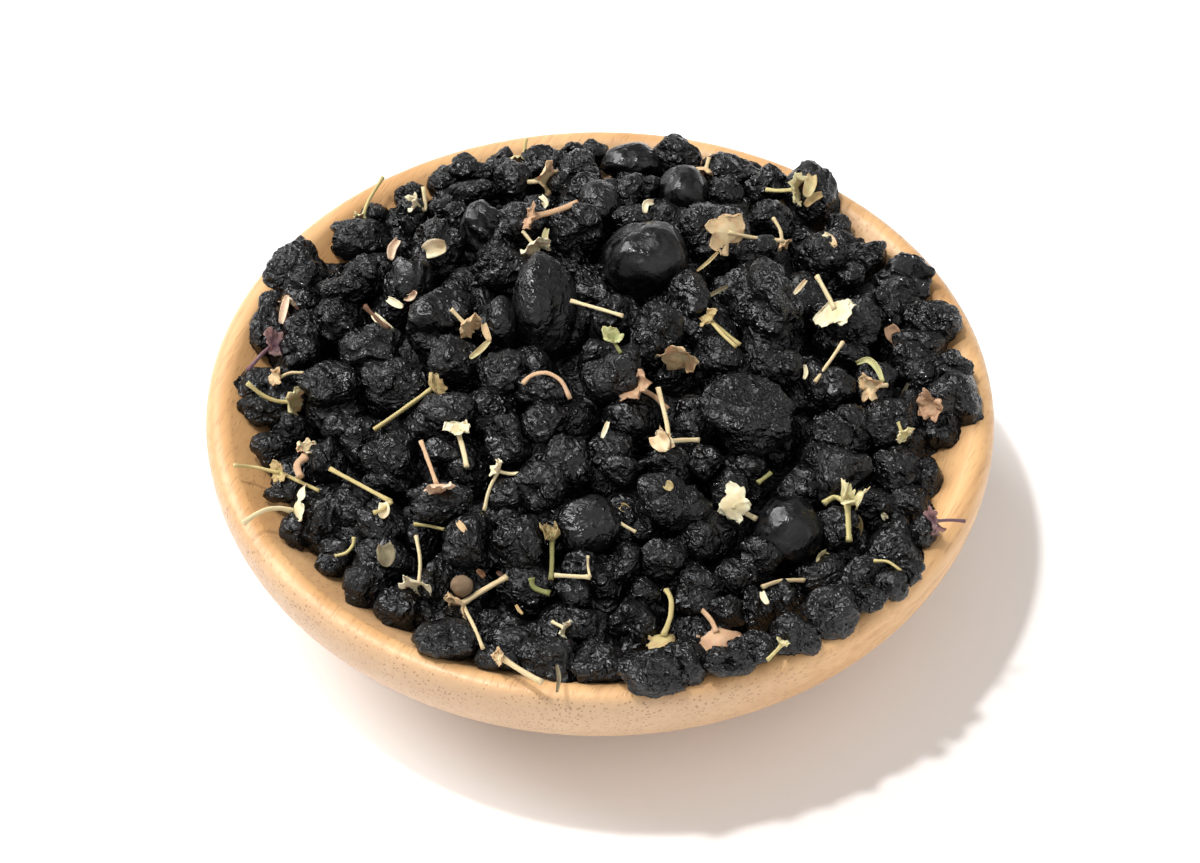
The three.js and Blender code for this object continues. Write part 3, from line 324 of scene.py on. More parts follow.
# Small loose bits that lie on the heap: sepals, curls and torn calyx walls, each one a bent strip
BITS = [
    dict(name="sepal_back_curl", colour="cream", wide=1.0, path=[[541, 196], [545, 203], [541, 209]]),
    dict(name="sepal_back_fork", colour="straw", wide=0.9, path=[[547, 229], [545, 237], [548, 247]]),
    dict(name="sepal_back_hook", colour="cream", wide=1.0, path=[[653, 202], [646, 204], [645, 213]]),
    dict(name="sepal_back_thin", colour="straw", wide=0.5, path=[[697, 271], [708, 262], [718, 252]]),
    dict(name="sepal_back_right", colour="straw", wide=1.2, path=[[822, 194], [813, 198], [805, 206]]),
    dict(name="sepal_right_upper", colour="cream", wide=1.0, path=[[824, 234], [831, 239], [836, 247]]),
    dict(name="sepal_left_a", colour="cream", wide=1.2, path=[[374, 315], [382, 323], [393, 331]]),
    dict(name="sepal_left_b", colour="cream", wide=1.1, path=[[388, 299], [395, 303], [403, 307]]),
    dict(name="sepal_left_c", colour="peach", wide=1.0, path=[[404, 298], [411, 297], [416, 291]]),
    dict(name="sepal_middle_a", colour="cream", wide=1.0, path=[[484, 324], [486, 332], [490, 341]]),
    dict(name="sepal_middle_b", colour="straw", wide=0.9, path=[[489, 341], [480, 350], [470, 358]]),
    dict(name="sepal_middle_c", colour="olive", wide=0.6, path=[[706, 298], [716, 292], [728, 286]]),
    dict(name="sepal_right_a", colour="cream", wide=0.7, path=[[794, 294], [800, 287], [806, 280]]),
    dict(name="sepal_right_b", colour="cream", wide=0.6, path=[[804, 379], [806, 373], [805, 365]]),
    dict(name="sepal_right_curl", colour="green", wide=0.9, path=[[857, 363], [868, 360], [877, 368], [883, 382]]),
    dict(name="patch_right_pink", colour="peach", wide=2.2, path=[[889, 326], [893, 334], [898, 342]]),
    dict(name="sepal_right_c", colour="olive", wide=0.5, path=[[908, 383], [904, 392], [900, 401]]),
    dict(name="sepal_left_brown", colour="peach", wide=1.3, path=[[398, 240], [392, 249], [391, 260]]),
    dict(name="patch_left_pale", colour="cream", wide=2.6, path=[[426, 252], [434, 248], [446, 246]]),
    dict(name="sepal_back_broad", colour="straw", wide=1.8, path=[[812, 175], [810, 185], [806, 197]]),
    dict(name="sepal_left_long", colour="peach", wide=1.1, path=[[287, 297], [284, 309], [281, 324]]),
    dict(name="patch_middle_lobe", colour="cream", wide=1.6, path=[[383, 503], [384, 511], [381, 518]]),
    dict(name="calyx_torn_olive", colour="olive", wide=2.6, path=[[385, 545], [386, 556], [384, 566]]),
    dict(name="sepal_front_stub", colour="cream", wide=0.9, path=[[458, 522], [462, 527], [466, 532]]),
    dict(name="bit_front_a", colour="brown", wide=0.8, path=[[477, 570], [481, 573], [484, 577]]),
    dict(name="bit_front_b", colour="brown", wide=0.6, path=[[497, 572], [501, 575], [504, 579]]),
    dict(name="thread_front", colour="olive", wide=0.6, path=[[557, 665], [559, 678], [557, 692]]),
    dict(name="sepal_front_a", colour="cream", wide=0.9, path=[[762, 592], [764, 598], [768, 604]]),
    dict(name="sepal_front_curl", colour="straw", wide=1.2, path=[[827, 552], [821, 558], [819, 567]]),
    dict(name="sepal_right_leaf", colour="green", wide=1.4, path=[[856, 517], [858, 526], [857, 537]]),
    dict(name="bit_right_a", colour="cream", wide=0.9, path=[[882, 514], [884, 516], [886, 519]]),
    dict(name="patch_middle_cream", colour="cream", wide=2.6, path=[[655, 436], [661, 443], [666, 451]]),
    dict(name="bit_middle", colour="green", wide=1.4, path=[[666, 484], [669, 486], [673, 489]]),
    dict(name="bit_middle_dim", colour="green", wide=1.2, path=[[621, 506], [625, 508], [629, 510]]),
    dict(name="sepal_front_tiny", colour="straw", wide=0.5, path=[[516, 605], [519, 610], [523, 614]]),
    dict(name="sepal_middle_thin", colour="cream", wide=0.7, path=[[608, 422], [605, 430], [602, 438]]),
]

# A seed that lies bare on the heap
SEED_PATH = [[457, 577], [461, 586], [464, 596]]
SEED_THICK = 3

# Stems whose calyx the photograph shows as browned with age, or as clean
AGED_STEMS = {"calyx_middle_fan", "stem_back_star", "stem_middle_fork", "calyx_right_rim", "calyx_right_crumpled", "stem_front_low", "stem_back_right",
              "stem_front_double", "stem_front_pink", "stem_front_curved", "patch_right_pink", "calyx_left_peach"}
FRESH_STEMS = {"stem_front_left_bent", "stem_right_cream", "stem_rim_long"}

# Berries that the photograph shows as smooth, glossy or brown, by the column of their middle
SMOOTH_BERRIES = {(588, 526), (600, 205), (683, 193), (502, 322), (632, 163), (645, 262), (544, 308), (789, 530)}
GLOSSY_BERRIES = {(645, 262), (683, 193), (789, 530), (632, 163), (902, 279), (483, 230), (411, 281)}
BROWN_BERRIES = {(545, 424), (749, 467), (550, 663)}


def chance(number):
    """A draw from 0 to 1 that is always the same for the same number."""
    wave = math.sin(number * 12.9898 + SEED) * 43758.5453
    return wave - math.floor(wave)


def blend(start, end, share):
    return start + (end - start) * share


# Bowl

def lip_inner_end():
    centre = BOWL_RADIUS - LIP_ROUNDING
    return (centre + LIP_ROUNDING * math.cos(LIP_TURN), WIDEST_HEIGHT + LIP_ROUNDING * math.sin(LIP_TURN))


def inside_height(radius):
    end_radius, end_height = lip_inner_end()
    share = max(0, (radius - INSIDE_FLOOR_RADIUS) / (end_radius - INSIDE_FLOOR_RADIUS))
    return INSIDE_FLOOR_HEIGHT + (end_height - INSIDE_FLOOR_HEIGHT) * share ** INSIDE_WALL_BEND


def wood_height(radius):
    """Height of the wood under the sky at a distance from the middle, past the lip included."""
    from_lip = radius - (BOWL_RADIUS - LIP_ROUNDING)
    if radius < lip_inner_end()[0]:
        return inside_height(radius)
    if from_lip < LIP_ROUNDING:
        return WIDEST_HEIGHT + math.sqrt(LIP_ROUNDING ** 2 - from_lip ** 2)
    return 0


def arc(centre, radius, start, end, steps):
    turns = [blend(start, end, step / steps) for step in range(steps + 1)]
    return [(centre + radius * math.cos(turn), WIDEST_HEIGHT + radius * math.sin(turn)) for turn in turns]


def bowl_section():
    """Half section from the foot's middle, up the outside, over the lip and down the inside."""
    shoulder = arc(BOWL_RADIUS - SHOULDER_ROUNDING, SHOULDER_ROUNDING, -SHOULDER_TURN, 0, 20)
    start = Vector(shoulder[0])
    bend = start - BELLY_REACH * Vector((math.sin(SHOULDER_TURN), math.cos(SHOULDER_TURN)))
    foot_edge = Vector((FOOT_RADIUS + FOOT_EDGE_WIDTH, FOOT_EDGE_RISE))
    points = [(0, 0), (FOOT_RADIUS * 0.5, 0), (FOOT_RADIUS, 0)]
    belly_steps = 24
    for step in range(belly_steps):
        share = step / belly_steps
        point = foot_edge * (1 - share) ** 2 + bend * 2 * share * (1 - share) + start * share ** 2
        points.append(tuple(point))
    points += shoulder[:-1]
    points += arc(BOWL_RADIUS - LIP_ROUNDING, LIP_ROUNDING, 0, LIP_TURN, 18)
    inside_steps = 40
    for step in range(1, inside_steps + 1):
        radius = blend(lip_inner_end()[0], INSIDE_FLOOR_RADIUS, step / inside_steps)
        points.append((radius, inside_height(radius)))
    points.append((0, INSIDE_FLOOR_HEIGHT))
    return points


def lathe(points, sides):
    """Corners and faces of a closed section turned about +Z. Its first and last points lie on the axis."""
    corners = [(0, 0, points[0][1])]
    for radius, height in points[1:-1]:
        for side in range(sides):
            turn = 2 * math.pi * side / sides
            corners.append((radius * math.cos(turn), radius * math.sin(turn), height))
    corners.append((0, 0, points[-1][1]))
    rings = len(points) - 2
    last = len(corners) - 1
    faces = []
    for side in range(sides):
        after = (side + 1) % sides
        faces.append((0, 1 + after, 1 + side))
        for ring in range(rings - 1):
            low = 1 + ring * sides
            high = low + sides
            faces.append((low + side, low + after, high + after, high + side))
        top = 1 + (rings - 1) * sides
        faces.append((top + side, top + after, last))
    return corners, faces


# Places along the lines of sight

def sight_line(column, row):
    right = (column - VIEW_COLUMN) / PIXELS_PER_MM / VIEW_DISTANCE
    up = (VIEW_ROW - row) / PIXELS_PER_MM / VIEW_DISTANCE
    return AWAY + RIGHT * right + UP * up


def sight_point(column, row, depth):
    return EYE + sight_line(column, row) * depth


def heap_height(x, y):
    """Height of the top layer's berry centres: a low dome that turns up where the berries lie on the wall."""
    radius = math.hypot(x, y)
    fall = min(1, radius / HEAP_RADIUS) ** HEAP_ROUNDNESS
    dome = WIDEST_HEIGHT + HEAP_EDGE_RISE + HEAP_TILT * y + HEAP_CROWN_RISE * (1 - fall)
    return max(dome, wood_height(min(radius, BOWL_RADIUS - LIP_ROUNDING)) + RISE_OVER_WOOD)


def heap_depth(column, row):
    line = sight_line(column, row)
    depth = VIEW_DISTANCE
    for _ in range(SIGHT_TURNS):
        point = sight_point(column, row, depth)
        depth = (heap_height(point.x, point.y) - EYE.z) / line.z
    return depth


def sight_to_berry(berry, line):
    """Depth at which a line of sight meets a berry's round form."""
    offset = EYE - berry["centre"]
    axes = (RIGHT, UP, AWAY)
    start = Vector([offset.dot(axis) / size for axis, size in zip(axes, berry["half"])])
    move = Vector([line.dot(axis) / size for axis, size in zip(axes, berry["half"])])
    a = move.length_squared
    b = move.dot(start)
    inside = b * b - a * (start.length_squared - 1)
    return math.inf if inside < 0 else (-b - math.sqrt(inside)) / a


def shown_depth(column, row, berries):
    """Depth along a line of sight at which the heap or the wood shows."""
    line = sight_line(column, row)
    heap = heap_depth(column, row)
    depth = min([heap] + [sight_to_berry(berry, line) for berry in berries])
    near = heap - BOWL_RADIUS
    while near < depth:
        point = sight_point(column, row, near)
        if point.z < wood_height(math.hypot(point.x, point.y)):
            return near
        near += SIGHT_STEP
    return depth


def along_path(path, share):
    place = share * (len(path) - 1)
    leg = min(math.floor(place), len(path) - 2)
    return [blend(path[leg][i], path[leg + 1][i], place - leg) for i in range(2)]


def resting_line(depths, longest):
    """Depths of both ends of a straight stick that lies on these depths on both sides of its middle."""
    last = len(depths) - 1
    middle = last // 2
    chords = []
    for first in range(middle + 1):
        for second in range(max(middle, first + 1), last + 1):
            slope = (depths[second] - depths[first]) / (second - first)
            chords.append((depths[first] + slope * (middle - first), slope))
    slope = min(chords)[1]
    steepest = STEEPEST_STEM * longest / last
    slope = max(-steepest, min(steepest, slope))
    near = min(depth - slope * step for step, depth in enumerate(depths))
    return near, near + slope * last


def calyx_room(calyx):
    """How far a calyx reaches behind the end of its stem, along the line of sight."""
    near = calyx["faces"][2]
    return calyx["deep"] * max(0, -near) + CALYX_SQUASH * calyx["mouth"] * math.sqrt(max(0, 1 - near * near))


def path_length(path):
    legs = zip(path, path[1:])
    return sum(math.hypot(b[0] - a[0], b[1] - a[1]) for a, b in legs) / PIXELS_PER_MM


def stick_points(path, thick, berries, calyx=None):
    """Points in space of a thing on the heap that covers this path of the photograph."""
    depths = [shown_depth(*along_path(path, share), berries) for share in STEM_SHARES]
    if calyx:
        depths[0] -= calyx_room(calyx)
    near, far = resting_line(depths, path_length(path))
    last = len(path) - 1
    lift = thick / 2 + GAP
    return [sight_point(*path[i], blend(near, far, i / last) - lift) for i in range(last + 1)]


# Berries

def top_berry(number, place):
    column, row, width, height = place
    half_width = width / PIXELS_PER_MM / 2
    half_height = height / PIXELS_PER_MM / 2
    flatness = FLATNESS_LEAST + FLATNESS_RANGE * chance(number + 0.5)
    depth = heap_depth(column, row) + DEPTH_SCATTER * (chance(number) - 0.5)
    return dict(
        centre=sight_point(column, row, depth),
        half=Vector((half_width, half_height, (half_width + half_height) / 2 * flatness)),
        place=(column, row),
        fine=width + height > FINE_BERRY_SIZE,
    )


def under_layer(top_berries):
    """Staggered rows of berries, a layer below the ones that show."""
    berries = []
    row_spacing = UNDER_BERRY_SPACING * math.sqrt(3) / 2
    rows = math.ceil(UNDER_LAYER_RADIUS / row_spacing)
    columns = math.ceil(UNDER_LAYER_RADIUS / UNDER_BERRY_SPACING)
    for row in range(-rows, rows + 1):
        for column in range(-columns, columns + 1):
            number = 500 + row * 40 + column
            stagger = 0 if row % 2 == 0 else UNDER_BERRY_SPACING / 2
            x = column * UNDER_BERRY_SPACING + stagger + UNDER_BERRY_JITTER * (chance(number) - 0.5)
            y = row * row_spacing + UNDER_BERRY_JITTER * (chance(number + 0.3) - 0.5)
            if math.hypot(x, y) >= UNDER_LAYER_RADIUS:
                continue
            z = heap_height(x, y) - UNDER_LAYER_DROP - UNDER_DEPTH_SCATTER * chance(number + 0.6)
            size = UNDER_BERRY_RADIUS * (0.9 + 0.2 * chance(number + 0.8))
            half = Vector((size, size, size))
            berries.append(dict(centre=Vector((x, y, z)), half=half, place=(0, 0), fine=False))
    return berries


def out_of_sight(point, berries):
    """Whether the berries or the wood hide a point from the photograph's view."""
    offset = point - EYE
    depth = offset.dot(AWAY)
    scale = VIEW_DISTANCE * PIXELS_PER_MM / depth
    column = VIEW_COLUMN + offset.dot(RIGHT) * scale
    row = VIEW_ROW - offset.dot(UP) * scale
    return shown_depth(column, row, berries) < depth


def inside_berry(point, berry):
    offset = point - berry["centre"]
    shares = [offset.dot(axis) / size for axis, size in zip((RIGHT, UP, AWAY), berry["half"])]
    return sum(share * share for share in shares) < 1


def hidden_layer(shown):
    """Berries on the bowl's wall between the heap and its edge, wherever the shown ones hide them."""
    berries = []
    for ring, radius in enumerate(HIDDEN_RINGS):
        count = round(2 * math.pi * radius / HIDDEN_SPACING)
        for i in range(count):
            number = 1500 + 100 * ring + i
            turn = 2 * math.pi * (i + 0.5 * ring + 0.3 * chance(number)) / count
            for share in HIDDEN_SHARES:
                size = HIDDEN_RADIUS * share * (0.85 + 0.3 * chance(number + 0.5))
                height = wood_height(radius) + HIDDEN_RISE * share
                centre = Vector((radius * math.cos(turn), radius * math.sin(turn), height))
                edges = [centre + reach for reach in (UP * size, RIGHT * size, RIGHT * -size)]
                if any(inside_berry(centre, berry) for berry in shown + berries):
                    break
                if all(out_of_sight(edge, shown) for edge in edges):
                    berries.append(dict(centre=centre, half=Vector((size, size, size)), place=(0, 0), fine=False))
                    break
    return berries


def random_direction(number):
    up = 2 * chance(number) - 1
    turn = 2 * math.pi * chance(number + 0.37)
    flat = math.sqrt(1 - up * up)
    return Vector((flat * math.cos(turn), flat * math.sin(turn), up))


def skin_of(number, berry):
    """The look of one berry: how creased, glossy and tinted its skin is, and where it has shrunk in."""
    crease = blend(0.6, 1.2, chance(number + 0.11))
    shrink = blend(0.6, 1.4, chance(number + 0.15))
    gloss = chance(number + 0.13) ** 2 * 0.6
    tint = 0.25 + 0.5 * chance(number + 0.17)
    if berry["place"] in SMOOTH_BERRIES:
        crease = 0.45
        shrink = 0.25
        tint = 0
        gloss = 0
    if berry["place"] in GLOSSY_BERRIES:
        crease *= 0.4
        tint = 0.6
        gloss = 1
    if berry["place"] in BROWN_BERRIES:
        tint = 1
    return dict(
        crease=crease,
        shrink=shrink,
        gloss=gloss,
        tint=tint,
        axis=random_direction(number + 0.19),
        offset=random_direction(number + 0.23) * 40,
        dents=[random_direction(number + 0.29 + 0.07 * i) for i in range(DENT_COUNT)],
    )


def shrunken(unit, skin):
    """Distance of the skin from the berry's middle, and how far out of the creases that place lies."""
    offset = skin["offset"]
    stretched = unit - skin["axis"] * (CREASE_STRETCH * unit.dot(skin["axis"]))
    place = stretched + noise.noise_vector(unit * 1.7 + offset) * CREASE_WARP
    folds = 1 - min(1, 2.4 * abs(noise.noise(place * FOLD_SCALE + offset)))
    ridges = 1 - min(1, 2.8 * abs(noise.noise(place * RIDGE_SCALE - offset)))
    distance = 1 + LUMP_DEPTH * min(1, 2 * skin["shrink"]) * noise.noise(unit * 1.2 + offset)
    for dent in skin["dents"]:
        distance -= DENT_DEPTH * skin["shrink"] * max(0, unit.dot(dent) - DENT_EDGE)
    relief = skin["shrink"] * FOLD_DEPTH * folds ** 1.4 + skin["crease"] * RIDGE_DEPTH * ridges ** 1.6
    return distance + relief, 0.5 * folds + 0.5 * ridges


def unit_ball(level):
    """Corners and triangles of a round ball."""
    ball = bmesh.new()
    bmesh.ops.create_icosphere(ball, subdivisions=level, radius=1)
    corners = [corner.co.copy() for corner in ball.verts]
    faces = [tuple(corner.index for corner in face.verts) for face in ball.faces]
    ball.free()
    return corners, faces


def berry_corners(number, berry, ball):
    """Corners of one wrinkled berry that fills its place in the photograph, and the skin's painted values."""
    skin = skin_of(number, berry)
    local = []
    fold = []
    for unit in ball:
        distance, out = shrunken(unit, skin)
        local.append(unit * distance)
        fold.append(out)
    corners = [berry["centre"].copy() for _ in ball]
    outliers = round(BULK_SHARE * len(ball))
    for i, axis in enumerate((RIGHT, UP, AWAY)):
        ordered = sorted(place[i] for place in local)
        least = ordered[outliers]
        most = ordered[-1 - outliers]
        scale = 2 * berry["half"][i] / (most - least)
        for corner, place in zip(corners, local):
            corner += axis * ((place[i] - (least + most) / 2) * scale)
    for corner in corners:
        corner.z = max(corner.z, wood_height(math.hypot(corner.x, corner.y)) + WOOD_CLEARANCE)
    count = len(ball)
    return corners, dict(fold=fold, gloss=[skin["gloss"]] * count, tint=[skin["tint"]] * count,
                         crease=[skin["crease"]] * count)


def berries_piece(name, numbered, material):
    """Several berries as one piece. A large berry is made from a finer ball than a small or covered one."""
    coarse_level = 4
    balls = {False: unit_ball(coarse_level), True: unit_ball(coarse_level + 1)}
    corners = []
    faces = []
    values = dict(fold=[], gloss=[], tint=[], crease=[])
    for number, berry in numbered:
        ball, triangles = balls[berry["fine"]]
        start = len(corners)
        new_corners, new_values = berry_corners(number, berry, ball)
        corners += new_corners
        faces += [tuple(start + i for i in triangle) for triangle in triangles]
        for key, value in new_values.items():
            values[key] += value
    piece = new_piece(name, corners, faces, material, values)
    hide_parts("berry_heap")
    return piece


def core_piece(material):
    """The berries deep in the heap as one dome, which only shows between the ones above, in the skin's dark crease
    colour all over as painted shade.
    """
    points = [(0, INSIDE_FLOOR_HEIGHT + GAP), (INSIDE_FLOOR_RADIUS, INSIDE_FLOOR_HEIGHT + GAP)]
    wall_steps = 8
    for step in range(1, wall_steps + 1):
        radius = blend(INSIDE_FLOOR_RADIUS, CORE_RADIUS, step / wall_steps)
        points.append((radius, inside_height(radius) + GAP))
    dome_steps = 24
    for step in range(dome_steps + 1):
        radius = CORE_RADIUS * (1 - step / dome_steps)
        points.append((radius, heap_height(radius, 0) - CORE_DROP - UNDER_LAYER_DROP))
    corners, faces = lathe(points, 72)
    placed = []
    for corner in corners:
        place = Vector(corner)
        if place.z > inside_height(CORE_RADIUS) + CORE_DROP:
            place.z += HEAP_TILT * place.y + 1.2 * noise.noise(place * 0.35)
        placed.append(place)
    count = len(placed)
    # fold 0 gives the whole core the creases' dark colour: painted shade.
    values = dict(fold=[0] * count, gloss=[0] * count, tint=[0.5] * count, crease=[1] * count)
    piece = new_piece("heap_core", placed, faces, material, values)
    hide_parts("berry_heap")


# Stems and calyxes

def smooth_path(points, steps):
    """Points on a smooth curve through the given points, and their shares of its length."""
    ends = [points[0] * 2 - points[1]] + points + [points[-1] * 2 - points[-2]]
    curve = []
    for leg in range(len(points) - 1):
        a, b, c, d = ends[leg:leg + 4]
        for step in range(steps):
            t = step / steps
            curve.append(0.5 * (2 * b + (c - a) * t + (2 * a - 5 * b + 4 * c - d) * t * t
                                + (3 * b - a - 3 * c + d) * t ** 3))
    return curve + [points[-1].copy()]


def side_of(direction):
    """Any direction square to this one."""
    spare = AWAY if abs(direction.dot(AWAY)) < 0.8 else UP
    return direction.cross(spare).normalized()


def new_skin():
    return dict(corners=[], faces=[], papery=[])


def add_tube(skin, path, radii, seed, sides=12):
    """A closed ribbed stick along a path."""
    start = len(skin["corners"])
    side = side_of(path[1] - path[0])
    for i, point in enumerate(path):
        ahead = (path[min(i + 1, len(path) - 1)] - path[max(i - 1, 0)]).normalized()
        side = (side - ahead * side.dot(ahead)).normalized()
        across = ahead.cross(side)
        for j in range(sides):
            turn = 2 * math.pi * j / sides
            rib = 1 + 0.12 * math.cos(3 * turn + seed) + 0.14 * noise.noise(point * 1.3 + Vector((turn, seed, 0)))
            reach = radii[i] * rib
            skin["corners"].append(point + side * (reach * math.cos(turn)) + across * (reach * math.sin(turn)))
            skin["papery"].append(0)
    skin["corners"] += [path[0].copy(), path[-1].copy()]
    skin["papery"] += [0, 0]
    rings = len(path)
    first = start + rings * sides
    for j in range(sides):
        after = (j + 1) % sides
        for i in range(rings - 1):
            low = start + i * sides
            high = low + sides
            skin["faces"].append((low + j, low + after, high + after, high + j))
        skin["faces"].append((first, start + after, start + j))
        end = start + (rings - 1) * sides
        skin["faces"].append((first + 1, end + j, end + after))


def calyx_ring(calyx, thick, share, seed, around):
    """One ring of a papery lobed cup as reach and height, from its foot at 0 to its torn edge at 1."""
    lobes = 3 + round(2 * chance(seed))
    ring = []
    for i in range(around):
        turn = 2 * math.pi * i / around
        wave = abs(math.cos(lobes * turn / 2 + seed))
        number = math.floor((turn * lobes / 2 + seed) / math.pi + 0.5) % lobes
        torn = chance(seed + 0.3 * number)
        lobe = 1 - LOBE_NOTCH * (1 - wave ** 0.45) - LOBE_TEAR * torn
        flat = Vector((math.cos(turn), math.sin(turn), 0))
        crumple = noise.noise(flat * 1.6 + Vector((seed, 0, 1.8 * share)))
        ripple = noise.noise(flat * 4.5 + Vector((0, seed, 3.2 * share)))
        pleat = math.cos(2 * lobes * turn + 5 * crumple + seed)
        spread = 1 + share * (CALYX_CRUMPLE * crumple + CALYX_RIPPLE * ripple)
        reach = blend(thick * 0.6, calyx["mouth"] * CALYX_SPREAD, share ** 0.65) * spread
        curl = CALYX_CURL * torn * share ** 3
        height = calyx["deep"] * (share * lobe * (1 + share * ripple * 0.3) - curl + CALYX_PLEAT * share * pleat)
        ring.append((reach, height, turn))
    return ring


def add_calyx(skin, base, calyx, thick, seed):
    """A papery lobed cup with an outer and an inner wall."""
    around = 48
    steps = 10
    right, up, near = calyx["faces"]
    axis = (RIGHT * right + UP * up - AWAY * near).normalized()
    side = side_of(axis)
    across = axis.cross(side)
    start = len(skin["corners"])
    rings = [calyx_ring(calyx, thick, share / steps, seed, around) for share in range(steps + 1)]
    walls = [(ring, 0, share / steps) for share, ring in enumerate(rings)]
    walls += [(ring, CALYX_WALL, share / steps) for share, ring in reversed(list(enumerate(rings)))]
    for ring, wall, papery in walls:
        for reach, height, turn in ring:
            inner = max(0.05, reach - wall)
            skin["corners"].append(base + side * (inner * math.cos(turn)) + across * (inner * math.sin(turn))
                                   + axis * (height + (wall if papery < 0.5 else 0)))
            skin["papery"].append(papery)
    for i in range(around):
        after = (i + 1) % around
        for ring in range(len(walls) - 1):
            low = start + ring * around
            high = low + around
            skin["faces"].append((low + i, low + after, high + after, high + i))
    first = len(skin["corners"])
    skin["corners"] += [base - axis * 0.1, base + axis * (CALYX_WALL * 1.5)]
    skin["papery"] += [0, 0]
    end = start + (len(walls) - 1) * around
    for i in range(around):
        after = (i + 1) % around
        skin["faces"].append((first, start + after, start + i))
        skin["faces"].append((first + 1, end + i, end + after))


def add_strip(skin, path, wide, seed):
    """A thin bent strip, widest in its middle, with a hollow along it."""
    start = len(skin["corners"])
    across_steps = 6
    count = len(path)
    ring_size = 2 * (across_steps + 1)
    side = side_of(path[1] - path[0])
    for i, point in enumerate(path):
        ahead = (path[min(i + 1, count - 1)] - path[max(i - 1, 0)]).normalized()
        out = (-AWAY + ahead * ahead.dot(AWAY)).normalized()
        side = ahead.cross(out)
        share = i / (count - 1)
        half = wide / 2 * (0.25 + 0.75 * math.sin(math.pi * (0.12 + 0.76 * share)) ** 0.7)
        for wall in (0, 1):
            for j in range(across_steps + 1):
                reach = (2 * j / across_steps - 1) * (1 if wall == 0 else -1)
                cup = 0.35 * wide * reach * reach
                crumple = 0.25 * wide * noise.noise(Vector((reach * 1.1, share * 2.6, seed)))
                rise = cup + crumple - (STRIP_WALL if wall == 0 else 0)
                skin["corners"].append(point + side * (half * reach) + out * rise)
                skin["papery"].append(0.4 + 0.6 * abs(reach))
    for i in range(count - 1):
        low = start + i * ring_size
        high = low + ring_size
        for j in range(ring_size):
            after = (j + 1) % ring_size
            skin["faces"].append((low + j, low + after, high + after, high + j))
    end = start + (count - 1) * ring_size
    skin["faces"].append(tuple(start + j for j in reversed(range(ring_size))))
    skin["faces"].append(tuple(end + j for j in range(ring_size)))


def stem_radii(count, thick, seed):
    """A little thicker at both ends, where the stem met its berry and its twig."""
    radii = []
    for i in range(count):
        share = i / (count - 1)
        swell = 1 + 0.35 * max(0, 1 - 5 * share) + 0.25 * max(0, 6 * share - 5)
        radii.append(thick / 2 * STEM_FINENESS * swell * (1 + 0.1 * noise.noise(Vector((share * 4, seed, 0)))))
    return radii


def age_of(name, number):
    """How spotted and brown a stem or bit is, from 0 to 1."""
    if name in AGED_STEMS:
        return 0.85
    if name in FRESH_STEMS:
        return 0.15
    return chance(number)


def stem_piece(number, stem, berries, materials):
    calyx = stem.get("calyx")
    runs = [stick_points(path, stem["thick"], berries, calyx if i == 0 else None)
            for i, path in enumerate(stem["paths"])]
    for run in runs[1:]:
        run[0] = runs[0][0].copy()
    skin = new_skin()
    for i, run in enumerate(runs):
        path = smooth_path(run, max(4, 16 // len(run)))
        thick = stem["thick"] * (stem.get("branch", 1) if i > 0 else 1)
        add_tube(skin, path, stem_radii(len(path), thick, number), number)
    if calyx:
        add_calyx(skin, runs[0][0], calyx, stem["thick"], number * 1.7)
    place_on_node(skin, stem["name"])
    piece = new_piece(stem["name"] + "_fine", skin["corners"], skin["faces"], materials[stem["colour"]],
                      dict(papery=skin["papery"], age=[age_of(stem["name"], number + 0.4)] * len(skin["corners"])))
    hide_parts(stem["name"])


def place_on_node(skin, node):
    """Moves the skin along the line of sight to where the solid lies."""
    low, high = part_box(node)
    middle = (Vector(low) + Vector(high)) / 2 / MM
    own = [[corner[i] for corner in skin["corners"]] for i in range(3)]
    own_middle = Vector([(min(values) + max(values)) / 2 for values in own])
    shift = AWAY * (middle - own_middle).dot(AWAY)
    skin["corners"] = [corner + shift for corner in skin["corners"]]


def bit_piece(number, bit, berries, materials):
    lift = BROAD_BIT_LIFT * max(0, bit["wide"] - BROAD_BIT)
    run = stick_points(bit["path"], STRIP_WALL + lift, berries)
    skin = new_skin()
    add_strip(skin, smooth_path(run, 5), bit["wide"], number * 2.3)
    piece = new_piece(bit["name"], skin["corners"], skin["faces"], materials[bit["colour"]],
                      dict(papery=skin["papery"], age=[age_of(bit["name"], number + 0.6)] * len(skin["corners"])))


def seed_piece(berries, materials):
    """A ribbed oval seed."""
    run = stick_points(SEED_PATH, SEED_THICK, berries)
    path = smooth_path(run, 10)
    last = len(path) - 1
    radii = [SEED_THICK / 2 * math.sqrt(max(0.02, 1 - (2 * i / last - 1) ** 2)) for i in range(last + 1)]
    skin = new_skin()
    add_tube(skin, path, radii, 0, 24)
    piece = new_piece("seed_front", skin["corners"], skin["faces"], materials["seed"],
                      dict(papery=skin["papery"], age=[0.6] * len(skin["corners"])))


# Pieces

def new_piece(name, corners, faces, material, values=None):
    """A smooth-shaded mesh that rides on the part, with one painted value per corner for each name."""
    mesh = bpy.data.meshes.new(name)
    mesh.from_pydata([tuple(Vector(corner) * MM) for corner in corners], [], faces)
    for key, numbers in (values or {}).items():
        layer = mesh.attributes.new(key, "FLOAT", "POINT")
        layer.data.foreach_set("value", numbers)
    mesh.materials.append(material)
    mesh.shade_smooth()
    mesh.update()
    piece = bpy.data.objects.new(name, mesh)
    bpy.context.collection.objects.link(piece)
    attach(piece, "root")
    return piece


# Materials

def new_material(name):
    material = bpy.data.materials.new(name)
    material.use_nodes = True
    return material


def add_node(material, kind, inputs, **settings):
    """A node with its settings, and its inputs given as values or as other nodes' outputs."""
    node = material.node_tree.nodes.new(kind)
    for key, value in settings.items():
        setattr(node, key, value)
    for key, value in inputs.items():
        if isinstance(value, bpy.types.NodeSocket):
            material.node_tree.links.new(value, node.inputs[key])
        else:
            node.inputs[key].default_value = value
    return node


